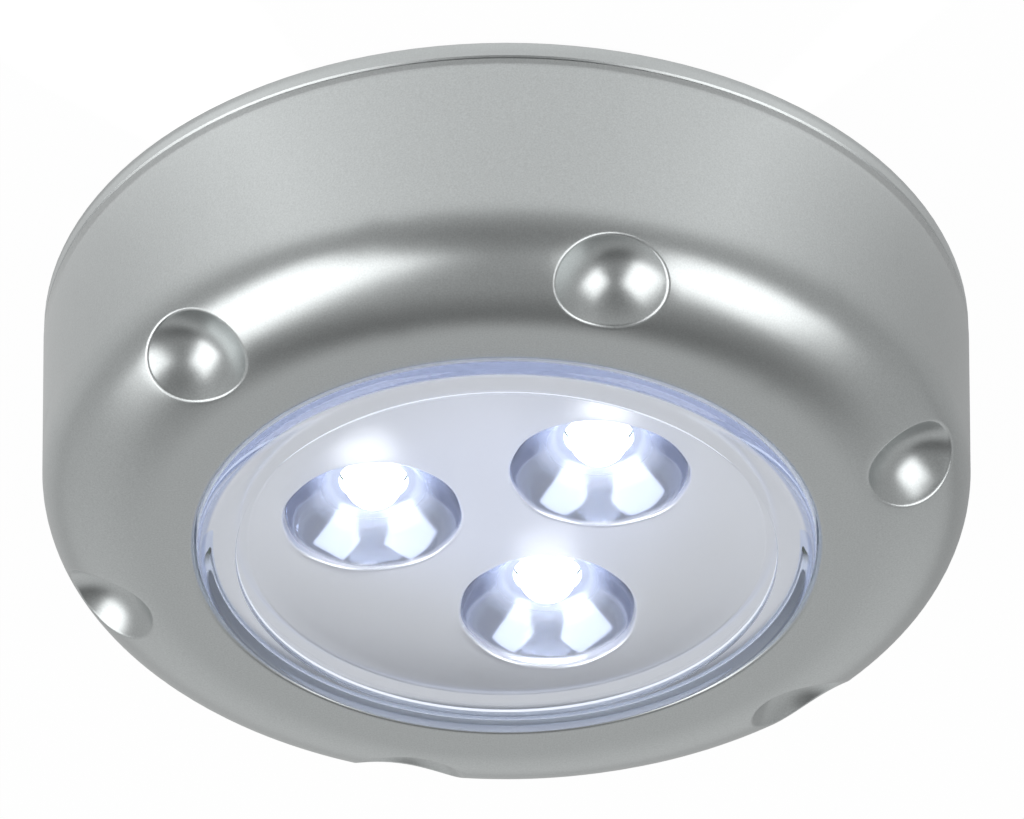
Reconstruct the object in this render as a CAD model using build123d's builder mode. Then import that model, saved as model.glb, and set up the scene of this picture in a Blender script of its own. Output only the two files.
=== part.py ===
from build123d import *
import math
import os

os.makedirs("parts", exist_ok=True)

# A round push light that twists off its ceiling plate. Lengths are in millimetres, angles in degrees.
# The origin is the middle of the adhesive pad's outer face, +Z points into the ceiling and the
# lens looks down, along -Z.

# Outer shell: its radius follows the battery bay, its height the stack of parts inside
shell_room = 3.676
wall_draft = 0.35
rounding_width = 9.1
rounding_height = 7.1
side_wall = 1.85
front_wall = 2.0
bezel_flat = 3.65
hole_edge_radius = 0.4

# Concave dimples on the bezel's rounding
dimple_count = 6
dimple_start_angle = 44.0
dimple_ellipse_angle = -53.5
dimple_mouth_radius = 4.67
dimple_depth = 2.54
dimple_wall = 1.3

# Mounting plate and its adhesive pad
pad_screw_gap = 2.4
pad_thickness = 1.0
pad_proud = 0.4
pad_clearance = 0.2
pad_edge = 0.2
plate_floor = 1.4
plate_rim = 1.54
plate_edge_radius = 0.2
seam_gap = 0.14
seam_edge = 0.15
screw_boss_gap = 2.5
screw_hole_radius = 1.8
screw_sink_radius = 3.6
screw_boss_radius = 4.6
screw_boss_height = 1.3
boss_rib = 1.2

# Bayonet: a slotted collar on the plate, lugs on the housing
collar_height = 5.1
collar_wall = 1.4
collar_clearance = 0.3
collar_lead = 0.4
lug_count = 3
lug_start_angle = 30.0
lug_arc = 8.0
lug_drop = 2.4
lug_height = 1.4
lug_tip_clearance = 0.2
slot_side_angle = 1.0
slot_top_clearance = 0.3
slot_bottom_clearance = 0.2
twist_angle = 22.0

# Size AAA cells, side by side along X
cell_radius = 5.25
cell_length = 44.5
cell_gap = 0.3
cell_headroom = 0.2
cell_clearance = 0.1
nub_radius = 1.9
nub_height = 0.8
nub_edge = 0.3
can_edge = 0.6
seal_rim = 1.15
seal_recess_depth = 0.2

# Contacts and cell springs
contact_thickness = 0.35
contact_width = 7.0
contact_height = 7.6
contact_corner = 1.0
button_radius = 2.4
button_height = 0.3
tab_width = 2.0
tab_clearance = 0.2
tab_solder_length = 0.6
spring_length = 4.2
spring_wire = 0.5
spring_wide_radius = 3.3
spring_narrow_radius = 1.9
spring_half_turns = 4
spring_seat = 0.04
wire_sides = 5

# Battery carrier
carrier_inset = 2.5
carrier_floor = 0.7
carrier_wall = 1.2
bay_side_clearance = 0.25
bay_end_clearance = 0.05
bay_corner = 2.0
bay_top_gap = 1.2
cradle_end_gap = 0.5
cradle_height = 3.0
scoop_radius = 5.5
ear_clearance = 0.4
post_count = 4
post_radius = 2.6
post_pilot_radius = 1.3
post_pilot_depth = 6.5
ear_radius = 3.2
ear_thickness = 1.5

# Circuit board and what it carries
board_post_gap = 0.9
board_thickness = 1.0
board_boss_width = 24.0
board_boss_gap = 0.3
board_boss_radius = 2.2
board_boss_height = 4.0
board_pilot_radius = 0.9
board_hole_clearance = 0.3
led_count = 3
led_start_angle = -47.6
led_flange_radius = 2.8
led_flange_height = 1.0
led_radius = 2.45
led_height = 4.55
led_leg_width = 0.5
led_leg_pitch = 2.54
led_leg_clearance = 0.1
resistor_length = 3.2
resistor_width = 1.6
resistor_height = 0.6
resistor_gap = 5.9
resistor_cap = 0.5
resistor_cap_proud = 0.05

# Screws
thread_clearance = 0.05
carrier_screw_length = 6.0
carrier_head_radius = 2.3
carrier_head_height = 1.5
board_screw_length = 4.0
board_head_radius = 1.8
board_head_height = 1.2
cross_width_share = 0.3
cross_length_share = 1.2
cross_depth_share = 0.55

# Push lens and its travel
lens_proud = 0.85
lens_hole_clearance = 0.2
lens_edge_radius = 1.25
lens_rim_width = 3.3
lens_step_height = 0.7
lens_step_edge = 0.2
lens_plate = 1.65
lens_skirt_wall = 1.05
lens_flange_reach = 1.9
lens_flange_height = 1.0
lens_rest_gap = 0.1
push_travel = 1.0
guide_count = 3
guide_start_angle = 12.4
guide_width = 2.4
guide_reach = 1.6
guide_inset = 1.0
guide_clearance = 0.25
guide_top_reach = 0.6

# Reflector with one fluted cup for each light source
reflector_radius_clearance = 0.2
reflector_wall = 0.9
dish_rim_width = 3.15
dish_depth = 0.9
dish_step = 0.3
cup_wall = 0.7
cup_depth = 4.8
cup_floor_clearance = 0.5
cup_margin = 2.56
cup_switch_gap = 0.76
cup_foot = 1.0
cup_flutes = 8
cup_flute_share = 0.7
cup_hole_clearance = 0.2

# Push switch in the middle of the board
switch_side = 6.2
switch_gap = 0.4
switch_edge = 0.5
switch_roof = 0.6
switch_lip = 0.4
switch_bore_radius = 2.6
switch_lip_clearance = 0.1
plunger_radius = 1.6
plunger_flange_radius = 2.4
plunger_flange_height = 0.7
plunger_rest_gap = 0.05
return_spring_wire = 0.2
return_spring_radius = 1.5
return_spring_half_turns = 4
return_spring_seat = 0.03

# How far every cut runs past the faces it opens
overrun = 1.0

quarter_turn = 90.0

# Heights, worked down from the ceiling
plate_back_z = -pad_proud
plate_inner_z = plate_back_z - plate_floor
rim_bottom_z = plate_back_z - plate_rim
housing_top_z = rim_bottom_z - seam_gap
cell_axis_z = plate_inner_z - cell_headroom - cell_radius
floor_top_z = cell_axis_z - cell_radius
floor_bottom_z = floor_top_z - carrier_floor
bay_top_z = plate_inner_z - bay_top_gap
board_bottom_z = floor_bottom_z - board_thickness
cup_back_z = board_bottom_z - push_travel - cup_floor_clearance
cup_front_z = cup_back_z - cup_wall
lens_inner_z = cup_front_z - cup_depth
lens_face_z = lens_inner_z - lens_plate
lens_front_z = lens_face_z - lens_step_height
bezel_z = lens_front_z + lens_proud
bezel_inner_z = bezel_z + front_wall
rounding_z = bezel_z + rounding_height
flange_bottom_z = bezel_inner_z + lens_rest_gap
flange_top_z = flange_bottom_z + lens_flange_height
reflector_back_z = lens_inner_z + dish_step + dish_depth + reflector_wall
switch_bottom_z = reflector_back_z + push_travel + switch_gap
switch_roof_z = board_bottom_z - switch_roof

# The battery bay: lengths along the cells, and how far its corner is from the middle
cell_spacing = 2 * cell_radius + cell_gap
seal_recess_radius = cell_radius - seal_rim
contact_x = (cell_length + button_height + spring_length) / 2
bay_half_length = contact_x + contact_thickness + bay_end_clearance
bay_half_width = cell_spacing + cell_radius + bay_side_clearance
bay_reach = math.hypot(bay_half_length + carrier_wall, bay_half_width + carrier_wall)
tab_inset = contact_width / 2 - tab_width / 2

# Radii out from the bay to the shell
collar_inner_radius = bay_reach + shell_room
collar_outer_radius = collar_inner_radius + collar_wall
housing_bore_radius = collar_outer_radius + collar_clearance
wall_foot_radius = housing_bore_radius + side_wall
outer_radius = wall_foot_radius + wall_draft

# Radii in from the shell to the lens and reflector
rounding_radius = wall_foot_radius - rounding_width
bezel_hole_radius = rounding_radius - bezel_flat
lens_radius = bezel_hole_radius - lens_hole_clearance
lens_step_radius = lens_radius - lens_rim_width
lens_skirt_radius = lens_radius - lens_skirt_wall
lens_flange_radius = lens_radius + lens_flange_reach
reflector_radius = lens_skirt_radius - reflector_radius_clearance
dish_radius = reflector_radius - dish_rim_width
cup_reach = dish_radius - cup_margin
cup_inset = switch_side / 2 + cup_switch_gap
led_circle = (cup_reach + cup_inset) / 2
cup_mouth_radius = (cup_reach - cup_inset) / 2
cup_base_radius = led_flange_radius + cup_hole_clearance + cup_foot
resistor_circle = led_circle + led_flange_radius + resistor_gap

# Plate, carrier and board, in from the collar
screw_pitch = 2 * (collar_inner_radius - screw_boss_radius - screw_boss_gap)
pad_radius = screw_pitch / 2 - screw_sink_radius - pad_screw_gap
post_circle = collar_inner_radius - ear_clearance - ear_radius
carrier_radius = post_circle - carrier_inset
board_radius = post_circle - post_radius - board_post_gap
board_boss_x = board_boss_width / 2
board_boss_y = bay_half_width + carrier_wall + board_boss_gap + board_boss_radius


def sector(inside_radius, outside_radius, start_angle, arc):
    # a piece of a flat ring, in the sketch that is open
    with BuildLine() as outline:
        outside = CenterArc((0, 0), outside_radius, start_angle, arc)
        inside = CenterArc((0, 0), inside_radius, start_angle, arc)
        Line(outside @ 0, inside @ 0)
        Line(outside @ 1, inside @ 1)
    make_face(outline.edges())


def coil(foot, first_radius, last_radius, height, half_turns):
    # a conical helix up from the foot plane, in the open line, each half turn a pair of tangent arcs
    radius_step = (last_radius - first_radius) / half_turns
    height_step = height / half_turns
    for step in range(half_turns):
        ends = []
        for knot in (step, step + 1):
            angle = knot * math.pi
            radius = first_radius + knot * radius_step
            across = foot.x_dir * math.cos(angle) + foot.y_dir * math.sin(angle)
            along = foot.y_dir * math.cos(angle) - foot.x_dir * math.sin(angle)
            place = foot.origin + across * radius + foot.z_dir * (knot * height_step)
            climb = across * radius_step + foot.z_dir * height_step
            heading = along * radius + climb * (1 / math.pi)
            ends.append((place, heading.normalized()))
        (start, start_heading), (end, end_heading) = ends
        span = end - start
        both = start_heading + end_heading
        spread = 4 - both.dot(both)
        reach = (math.sqrt(span.dot(both) ** 2 + spread * span.dot(span)) - span.dot(both)) / spread
        middle = (start + start_heading * reach + end - end_heading * reach) * 0.5
        first = TangentArc(start, middle, tangent=start_heading)
        TangentArc(first @ 1, end, tangent=first % 1)


def least_gap(wire_path, wire, half_turns):
    # the smallest air gap between neighbouring turns, from points along the wire's middle
    count = half_turns * 24
    points = [wire_path @ (index / count) for index in range(count + 1)]
    turn = count * 2 // half_turns
    near = [
        (points[low] - points[high]).length
        for low in range(count + 1)
        for high in range(low + turn * 3 // 4, count + 1)
    ]
    return min(near) - wire


def make_screw(head_z, direction, shank_radius, length, head_radius, head_height):
    # a pan head screw on the Z axis, its head seated at head_z and its point along direction
    with BuildPart() as screw:
        with BuildSketch(Plane.XY.offset(head_z)):
            Circle(head_radius)
        extrude(amount=-direction * head_height)
        with BuildSketch(Plane.XY.offset(head_z)):
            Circle(shank_radius)
        extrude(amount=direction * length)
        with BuildSketch(Plane.XY.offset(head_z - direction * head_height)):
            Rectangle(head_radius * cross_length_share, head_radius * cross_width_share)
            Rectangle(head_radius * cross_width_share, head_radius * cross_length_share)
        extrude(amount=direction * head_height * cross_depth_share, mode=Mode.SUBTRACT)
    return screw


# Adhesive pad
with BuildPart() as adhesive_pad:
    with BuildSketch(Plane.XY.offset(-pad_thickness)):
        Circle(pad_radius)
    extrude(amount=pad_thickness)
    chamfer(adhesive_pad.edges().group_by(Axis.Z)[-1], pad_edge)
adhesive_pad.part.label = "adhesive_pad"
export_step(adhesive_pad.part, "parts/adhesive_pad.step")

# Mounting plate: disc, rim, bayonet collar, screw bosses
with BuildPart() as mounting_plate:
    with BuildSketch(Plane.XZ) as plate_section:
        with BuildLine():
            Polyline(
                (0, plate_back_z),
                (outer_radius, plate_back_z),
                (outer_radius, rim_bottom_z),
                (collar_outer_radius, rim_bottom_z),
                (collar_outer_radius, plate_inner_z - collar_height),
                (collar_inner_radius, plate_inner_z - collar_height),
                (collar_inner_radius, plate_inner_z),
                (0, plate_inner_z),
                close=True,
            )
        make_face()
        fillet(plate_section.vertices().sort_by_distance((outer_radius, plate_back_z))[0], plate_edge_radius)
        chamfer(plate_section.vertices().sort_by_distance((outer_radius, rim_bottom_z))[0], seam_edge)
        lead_corner = (collar_outer_radius, plate_inner_z - collar_height)
        chamfer(plate_section.vertices().sort_by_distance(lead_corner)[0], collar_lead)
    revolve(axis=Axis.Z)
    with BuildSketch(Plane.XY.offset(plate_back_z)):
        Circle(pad_radius + pad_clearance)
    extrude(amount=pad_proud - pad_thickness, mode=Mode.SUBTRACT)
    with BuildSketch(Plane.XY.offset(plate_inner_z)):
        with GridLocations(0, screw_pitch, 1, 2):
            Circle(screw_boss_radius)
        for side in (-1, 1):
            rib_end = (collar_inner_radius + collar_outer_radius) / 2
            with Locations((0, side * (screw_pitch / 2 + rib_end) / 2)):
                Rectangle(boss_rib, rib_end - screw_pitch / 2)
    extrude(amount=-screw_boss_height)
    boss_face = Plane(origin=(0, 0, plate_inner_z - screw_boss_height), z_dir=(0, 0, -1))
    with Locations(boss_face):
        with GridLocations(0, screw_pitch, 1, 2):
            CounterSinkHole(screw_hole_radius, screw_sink_radius)
    slot_top_z = plate_inner_z - lug_drop + slot_top_clearance
    slot_bottom_z = plate_inner_z - lug_drop - lug_height - slot_bottom_clearance
    lug_half = lug_arc / 2 + slot_side_angle
    with BuildSketch(Plane.XY.offset(slot_bottom_z)):
        for number in range(lug_count):
            lug_angle = lug_start_angle + number * 360 / lug_count
            sector(
                collar_inner_radius - overrun,
                collar_outer_radius + overrun,
                lug_angle - lug_half,
                twist_angle + 2 * lug_half,
            )
    extrude(amount=slot_top_z - slot_bottom_z, mode=Mode.SUBTRACT)
    with BuildSketch(Plane.XY.offset(plate_inner_z - collar_height - overrun)):
        for number in range(lug_count):
            lug_angle = lug_start_angle + number * 360 / lug_count
            sector(
                collar_inner_radius - overrun,
                collar_outer_radius + overrun,
                lug_angle + twist_angle - lug_half,
                2 * lug_half,
            )
    extrude(amount=slot_bottom_z - plate_inner_z + collar_height + overrun, mode=Mode.SUBTRACT)
mounting_plate.part.label = "mounting_plate"
export_step(mounting_plate.part, "parts/mounting_plate.step")

# Housing: the moulded shell with its dimples, posts, lens guides and bayonet lugs
dimple_sphere_radius = (dimple_mouth_radius ** 2 + dimple_depth ** 2) / (2 * dimple_depth)
ellipse_x = math.cos(math.radians(dimple_ellipse_angle))
ellipse_y = math.sin(math.radians(dimple_ellipse_angle))
slope = math.atan2(ellipse_y * rounding_width, ellipse_x * rounding_height)
dimple_offset = dimple_sphere_radius - dimple_depth
dimple_circle = rounding_radius + rounding_width * ellipse_x + dimple_offset * math.cos(slope)
dimple_z = rounding_z + rounding_height * ellipse_y + dimple_offset * math.sin(slope)


def shell_outline():
    # the outside of the shell, from the middle of the bezel up to the seam, closed on the axis
    with BuildLine() as outline:
        Line((0, bezel_z), (rounding_radius, bezel_z))
        EllipticalCenterArc(
            (rounding_radius, rounding_z),
            rounding_width,
            rounding_height,
            start_angle=-quarter_turn,
            arc_size=quarter_turn,
        )
        Line((wall_foot_radius, rounding_z), (outer_radius, housing_top_z))
        Line((outer_radius, housing_top_z), (0, housing_top_z))
        Line((0, housing_top_z), (0, bezel_z))
    make_face(outline.edges())


with BuildPart() as dimple_backs:
    with Locations(Plane.XY.offset(dimple_z)):
        with PolarLocations(dimple_circle, dimple_count, start_angle=dimple_start_angle):
            Sphere(dimple_sphere_radius + dimple_wall, rotation=(quarter_turn, 0, 0))
    with BuildSketch(Plane.XZ):
        shell_outline()
    revolve(axis=Axis.Z, mode=Mode.INTERSECT)

with BuildPart() as housing:
    with BuildSketch(Plane.XZ) as shell_section:
        shell_outline()
        with BuildLine():
            Line((0, bezel_inner_z), (rounding_radius, bezel_inner_z))
            EllipticalCenterArc(
                (rounding_radius, rounding_z),
                rounding_width - side_wall,
                rounding_height - front_wall,
                start_angle=-quarter_turn,
                arc_size=quarter_turn,
            )
            Line((housing_bore_radius, rounding_z), (housing_bore_radius, housing_top_z))
            Line((housing_bore_radius, housing_top_z), (0, housing_top_z))
            Line((0, housing_top_z), (0, bezel_inner_z))
        make_face(mode=Mode.SUBTRACT)
        with Locations((bezel_hole_radius / 2, bezel_z + front_wall / 2)):
            Rectangle(bezel_hole_radius, front_wall, mode=Mode.SUBTRACT)
        fillet(shell_section.vertices().sort_by_distance((bezel_hole_radius, bezel_z))[0], hole_edge_radius)
        chamfer(shell_section.vertices().sort_by_distance((outer_radius, housing_top_z))[0], seam_edge)
    revolve(axis=Axis.Z)
    add(dimple_backs.part)
    with BuildSketch(Plane.XY.offset(bezel_inner_z)):
        with PolarLocations(post_circle, post_count):
            Circle(post_radius)
    extrude(amount=floor_bottom_z - bezel_inner_z)
    with Locations(Plane.XY.offset(floor_bottom_z)):
        with PolarLocations(post_circle, post_count):
            Hole(post_pilot_radius, depth=post_pilot_depth)
    guide_inner_radius = lens_radius + guide_inset
    guide_middle = guide_inner_radius + guide_reach / 2
    with BuildSketch(Plane.XY.offset(bezel_inner_z)):
        with PolarLocations(guide_middle, guide_count, start_angle=guide_start_angle):
            Rectangle(guide_reach, guide_width)
    extrude(amount=flange_top_z - bezel_inner_z + push_travel + guide_top_reach)
    lug_top_z = plate_inner_z - lug_drop
    with BuildSketch(Plane.XY.offset(lug_top_z - lug_height)):
        for number in range(lug_count):
            lug_angle = lug_start_angle + number * 360 / lug_count
            sector(
                collar_inner_radius + lug_tip_clearance,
                housing_bore_radius + side_wall / 2,
                lug_angle - lug_arc / 2,
                lug_arc,
            )
    extrude(amount=lug_height)
    with Locations(Plane.XY.offset(dimple_z)):
        with PolarLocations(dimple_circle, dimple_count, start_angle=dimple_start_angle):
            Sphere(dimple_sphere_radius, rotation=(quarter_turn, 0, 0), mode=Mode.SUBTRACT)
housing.part.label = "housing"
export_step(housing.part, "parts/housing.step")

# Battery carrier: floor, cradled bays, screw ears and board bosses
terminal_y = cell_spacing - tab_inset
with BuildPart() as battery_carrier:
    with BuildSketch(Plane.XY.offset(floor_bottom_z)):
        Circle(carrier_radius)
        with PolarLocations(post_circle, post_count):
            Circle(ear_radius)
    extrude(amount=carrier_floor)
    with BuildSketch(Plane.XY.offset(floor_bottom_z)):
        with PolarLocations(post_circle, post_count):
            Circle(ear_radius)
    extrude(amount=ear_thickness)
    with BuildSketch(Plane.XY.offset(floor_bottom_z)):
        RectangleRounded(
            2 * (bay_half_length + carrier_wall), 2 * (bay_half_width + carrier_wall), bay_corner
        )
        Rectangle(2 * bay_half_length, 2 * bay_half_width, mode=Mode.SUBTRACT)
    extrude(amount=bay_top_z - floor_bottom_z)
    with BuildSketch(Plane.XY.offset(floor_bottom_z)):
        Rectangle(2 * (contact_x - cradle_end_gap), 2 * bay_half_width)
    extrude(amount=carrier_floor + cradle_height)
    with BuildSketch(Plane.YZ.offset(-bay_half_length)):
        with Locations((0, cell_axis_z)):
            with GridLocations(cell_spacing, 0, 3, 1):
                Circle(cell_radius + cell_clearance)
    extrude(amount=2 * bay_half_length, mode=Mode.SUBTRACT)
    with BuildSketch(Plane.XZ):
        with Locations((0, bay_top_z)):
            Circle(scoop_radius)
    extrude(amount=bay_half_width + carrier_wall + overrun, both=True, mode=Mode.SUBTRACT)
    with BuildSketch(Plane.XY.offset(floor_top_z)):
        with GridLocations(2 * board_boss_x, 2 * board_boss_y, 2, 2):
            Circle(board_boss_radius)
    extrude(amount=board_boss_height)
    with Locations(Plane(origin=(0, 0, floor_bottom_z), z_dir=(0, 0, -1))):
        with GridLocations(2 * board_boss_x, 2 * board_boss_y, 2, 2):
            Hole(board_pilot_radius, depth=board_boss_height)
    with Locations(Plane.XY.offset(floor_bottom_z + ear_thickness)):
        with PolarLocations(post_circle, post_count):
            Hole(post_pilot_radius, depth=ear_thickness + overrun)
    with BuildSketch(Plane.XY.offset(floor_bottom_z - overrun)):
        for side, lane in ((1, -1), (-1, 1)):
            with Locations((side * (contact_x + contact_thickness / 2), lane * terminal_y)):
                Rectangle(contact_thickness + 2 * bay_end_clearance, tab_width + 2 * tab_clearance)
    extrude(amount=carrier_floor + 2 * overrun, mode=Mode.SUBTRACT)
battery_carrier.part.label = "battery_carrier"
export_step(battery_carrier.part, "parts/battery_carrier.step")

# Cells: neighbours point opposite ways
lanes = (-1, 0, 1)
positive_sides = (1, -1, 1)
for number, (lane, side) in enumerate(zip(lanes, positive_sides), start=1):
    nub_tip = (side * (contact_x - button_height), lane * cell_spacing, cell_axis_z)
    cell_plane = Plane(origin=nub_tip, x_dir=(-side, 0, 0), z_dir=(0, 1, 0))
    with BuildPart() as aaa_cell:
        with BuildSketch(cell_plane) as cell_section:
            with BuildLine():
                Polyline(
                    (0, 0),
                    (0, nub_radius),
                    (nub_height, nub_radius),
                    (nub_height, cell_radius),
                    (cell_length, cell_radius),
                    (cell_length, seal_recess_radius),
                    (cell_length - seal_recess_depth, seal_recess_radius),
                    (cell_length - seal_recess_depth, 0),
                    close=True,
                )
            make_face()
            chamfer(cell_section.vertices().sort_by_distance((0, nub_radius))[0], nub_edge)
            chamfer(cell_section.vertices().sort_by_distance((nub_height, cell_radius))[0], can_edge)
            chamfer(cell_section.vertices().sort_by_distance((cell_length, cell_radius))[0], can_edge)
        revolve(axis=Axis(nub_tip, (side, 0, 0)))
    aaa_cell.part.label = f"aaa_cell_{number}"
    export_step(aaa_cell.part, f"parts/aaa_cell_{number}.step")


def make_contact(side, first_lane, last_lane, button_lane=None, tab_lane=None):
    # a contact strip against the bay's end wall, with a button for a cell's nub and a solder tab
    strip_width = (last_lane - first_lane) * cell_spacing + contact_width
    strip_y = (first_lane + last_lane) / 2 * cell_spacing
    tab_end_z = board_bottom_z - tab_solder_length
    with BuildPart() as strip:
        with BuildSketch(Plane.YZ.offset(side * contact_x)):
            with Locations((strip_y, cell_axis_z)):
                RectangleRounded(strip_width, contact_height, contact_corner)
            if tab_lane is not None:
                with Locations((tab_lane * terminal_y, (cell_axis_z + tab_end_z) / 2)):
                    Rectangle(tab_width, cell_axis_z - tab_end_z)
        extrude(amount=side * contact_thickness)
        if button_lane is not None:
            with BuildSketch(Plane.YZ.offset(side * contact_x)):
                with Locations((button_lane * cell_spacing, cell_axis_z)):
                    Circle(button_radius)
            extrude(amount=-side * button_height)
    return strip


positive_terminal = make_contact(side=1, first_lane=-1, last_lane=-1, button_lane=-1, tab_lane=-1)
positive_terminal.part.label = "positive_terminal"
export_step(positive_terminal.part, "parts/positive_terminal.step")

negative_terminal = make_contact(side=-1, first_lane=1, last_lane=1, tab_lane=1)
negative_terminal.part.label = "negative_terminal"
export_step(negative_terminal.part, "parts/negative_terminal.step")

link_plate_1 = make_contact(side=-1, first_lane=-1, last_lane=0, button_lane=0)
link_plate_1.part.label = "link_plate_1"
export_step(link_plate_1.part, "parts/link_plate_1.step")

link_plate_2 = make_contact(side=1, first_lane=0, last_lane=1, button_lane=1)
link_plate_2.part.label = "link_plate_2"
export_step(link_plate_2.part, "parts/link_plate_2.step")

# Cell springs: conical, wide end on the contact strip
spring_path_height = spring_length - spring_wire - 2 * spring_seat
for number, (lane, side) in enumerate(zip(lanes, positive_sides), start=1):
    foot_x = -side * (contact_x - spring_wire / 2 - spring_seat)
    foot = Plane(origin=(foot_x, lane * cell_spacing, cell_axis_z), x_dir=(0, 1, 0), z_dir=(side, 0, 0))
    with BuildPart() as cell_spring:
        with BuildLine() as spring_line:
            coil(foot, spring_wide_radius, spring_narrow_radius, spring_path_height, spring_half_turns)
        spring_path = spring_line.wire()
        with BuildSketch(Plane(origin=spring_path @ 0, z_dir=spring_path % 0)):
            RegularPolygon(spring_wire / 2, wire_sides)
        sweep(path=spring_path)
    cell_spring.part.label = f"cell_spring_{number}"
    export_step(cell_spring.part, f"parts/cell_spring_{number}.step")
spring_gap = least_gap(spring_path, spring_wire, spring_half_turns)
print("cell spring, least gap between turns:", round(spring_gap, 3))

# Circuit board
board_shank_radius = board_pilot_radius - thread_clearance
with BuildPart() as circuit_board:
    with BuildSketch(Plane.XY.offset(board_bottom_z)):
        Circle(board_radius)
        with GridLocations(2 * board_boss_x, 2 * board_boss_y, 2, 2):
            Circle(board_shank_radius + board_hole_clearance, mode=Mode.SUBTRACT)
        with PolarLocations(led_circle, led_count, start_angle=led_start_angle):
            with GridLocations(0, led_leg_pitch, 1, 2):
                Circle(led_leg_width / math.sqrt(2) + led_leg_clearance, mode=Mode.SUBTRACT)
        for side, lane in ((1, -1), (-1, 1)):
            with Locations((side * (contact_x + contact_thickness / 2), lane * terminal_y)):
                Rectangle(
                    contact_thickness + 2 * tab_clearance, tab_width + 2 * tab_clearance, mode=Mode.SUBTRACT
                )
    extrude(amount=board_thickness)
circuit_board.part.label = "circuit_board"
export_step(circuit_board.part, "parts/circuit_board.step")

# Light sources: flanged wide-angle lamps with two legs through the board
for number in range(led_count):
    led_angle = math.radians(led_start_angle + number * 360 / led_count)
    led_centre = (led_circle * math.cos(led_angle), led_circle * math.sin(led_angle))
    led_outward = (math.cos(led_angle), math.sin(led_angle), 0)
    led_plane = Plane(origin=(*led_centre, board_bottom_z), x_dir=led_outward, z_dir=(0, 0, 1))
    with BuildPart() as led:
        with BuildSketch(led_plane):
            Circle(led_flange_radius)
        extrude(amount=-led_flange_height)
        with BuildSketch(led_plane):
            Circle(led_radius)
        extrude(amount=led_radius - led_height)
        with Locations(led_plane.offset(led_radius - led_height)):
            Sphere(led_radius, arc_size2=0, align=(Align.CENTER, Align.CENTER, Align.MAX))
        with BuildSketch(led_plane):
            with GridLocations(0, led_leg_pitch, 1, 2):
                Rectangle(led_leg_width, led_leg_width)
        extrude(amount=board_thickness)
    led.part.label = f"led_{number + 1}"
    export_step(led.part, f"parts/led_{number + 1}.step")

# Chip resistors, one beside each light source
with BuildPart() as resistors:
    with BuildSketch(Plane.XY.offset(board_bottom_z)):
        with PolarLocations(resistor_circle, led_count, start_angle=led_start_angle):
            Rectangle(resistor_width, resistor_length)
    extrude(amount=-resistor_height)
    with BuildSketch(Plane.XY.offset(board_bottom_z)):
        with PolarLocations(resistor_circle, led_count, start_angle=led_start_angle):
            with GridLocations(0, resistor_length - resistor_cap, 1, 2):
                Rectangle(resistor_width + 2 * resistor_cap_proud, resistor_cap)
    extrude(amount=-resistor_height - resistor_cap_proud)
resistors.part.label = "resistors"
export_step(resistors.part, "parts/resistors.step")

# Carrier screws, down through the ears into the housing's posts
carrier_screw = make_screw(
    head_z=floor_bottom_z + ear_thickness,
    direction=-1,
    shank_radius=post_pilot_radius - thread_clearance,
    length=carrier_screw_length,
    head_radius=carrier_head_radius,
    head_height=carrier_head_height,
)
with BuildPart() as carrier_screws:
    with PolarLocations(post_circle, post_count):
        add(carrier_screw.part)
carrier_screws.part.label = "carrier_screws"
export_step(carrier_screws.part, "parts/carrier_screws.step")

# Board screws, up through the board into the carrier's bosses
board_screw = make_screw(
    head_z=board_bottom_z,
    direction=1,
    shank_radius=board_shank_radius,
    length=board_screw_length,
    head_radius=board_head_radius,
    head_height=board_head_height,
)
with BuildPart() as board_screws:
    with GridLocations(2 * board_boss_x, 2 * board_boss_y, 2, 2):
        add(board_screw.part)
board_screws.part.label = "board_screws"
export_step(board_screws.part, "parts/board_screws.step")

# Lens: a clear cup with a raised rim, caught behind the bezel by its flange
with BuildPart() as lens:
    with BuildSketch(Plane.XZ) as lens_section:
        with BuildLine():
            Polyline(
                (0, lens_face_z),
                (lens_step_radius, lens_face_z),
                (lens_step_radius, lens_front_z),
                (lens_radius, lens_front_z),
                (lens_radius, flange_bottom_z),
                (lens_flange_radius, flange_bottom_z),
                (lens_flange_radius, flange_top_z),
                (lens_skirt_radius, flange_top_z),
                (lens_skirt_radius, lens_inner_z),
                (0, lens_inner_z),
                close=True,
            )
        make_face()
        fillet(lens_section.vertices().sort_by_distance((lens_radius, lens_front_z))[0], lens_edge_radius)
        fillet(lens_section.vertices().sort_by_distance((lens_step_radius, lens_front_z))[0], lens_step_edge)
    revolve(axis=Axis.Z)
    notch_depth = lens_flange_radius - guide_inner_radius + guide_clearance
    notch_middle = guide_inner_radius - guide_clearance + (notch_depth + overrun) / 2
    with BuildSketch(Plane.XY.offset(flange_bottom_z - overrun)):
        with PolarLocations(notch_middle, guide_count, start_angle=guide_start_angle):
            Rectangle(notch_depth + overrun, guide_width + 2 * guide_clearance)
    extrude(amount=lens_flange_height + 2 * overrun, mode=Mode.SUBTRACT)
lens.part.label = "lens"
export_step(lens.part, "parts/lens.step")

# Reflector: shallow dish with fluted cups
rim_back_z = lens_inner_z + reflector_wall
dish_edge_z = lens_inner_z + dish_step
cup_mouth_z = (lens_inner_z + dish_edge_z + dish_depth) / 2
cup_slope = (cup_mouth_radius - cup_base_radius) / (cup_front_z - cup_mouth_z)


def fluted_outline(tip_radius, wall):
    # a ring of overlapping circles, in every place that is in use
    flute_radius = tip_radius * cup_flute_share
    with PolarLocations(tip_radius - flute_radius, cup_flutes):
        Circle(flute_radius + wall)


def cup_radius_at(height):
    return cup_mouth_radius - (height - cup_mouth_z) * cup_slope


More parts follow.
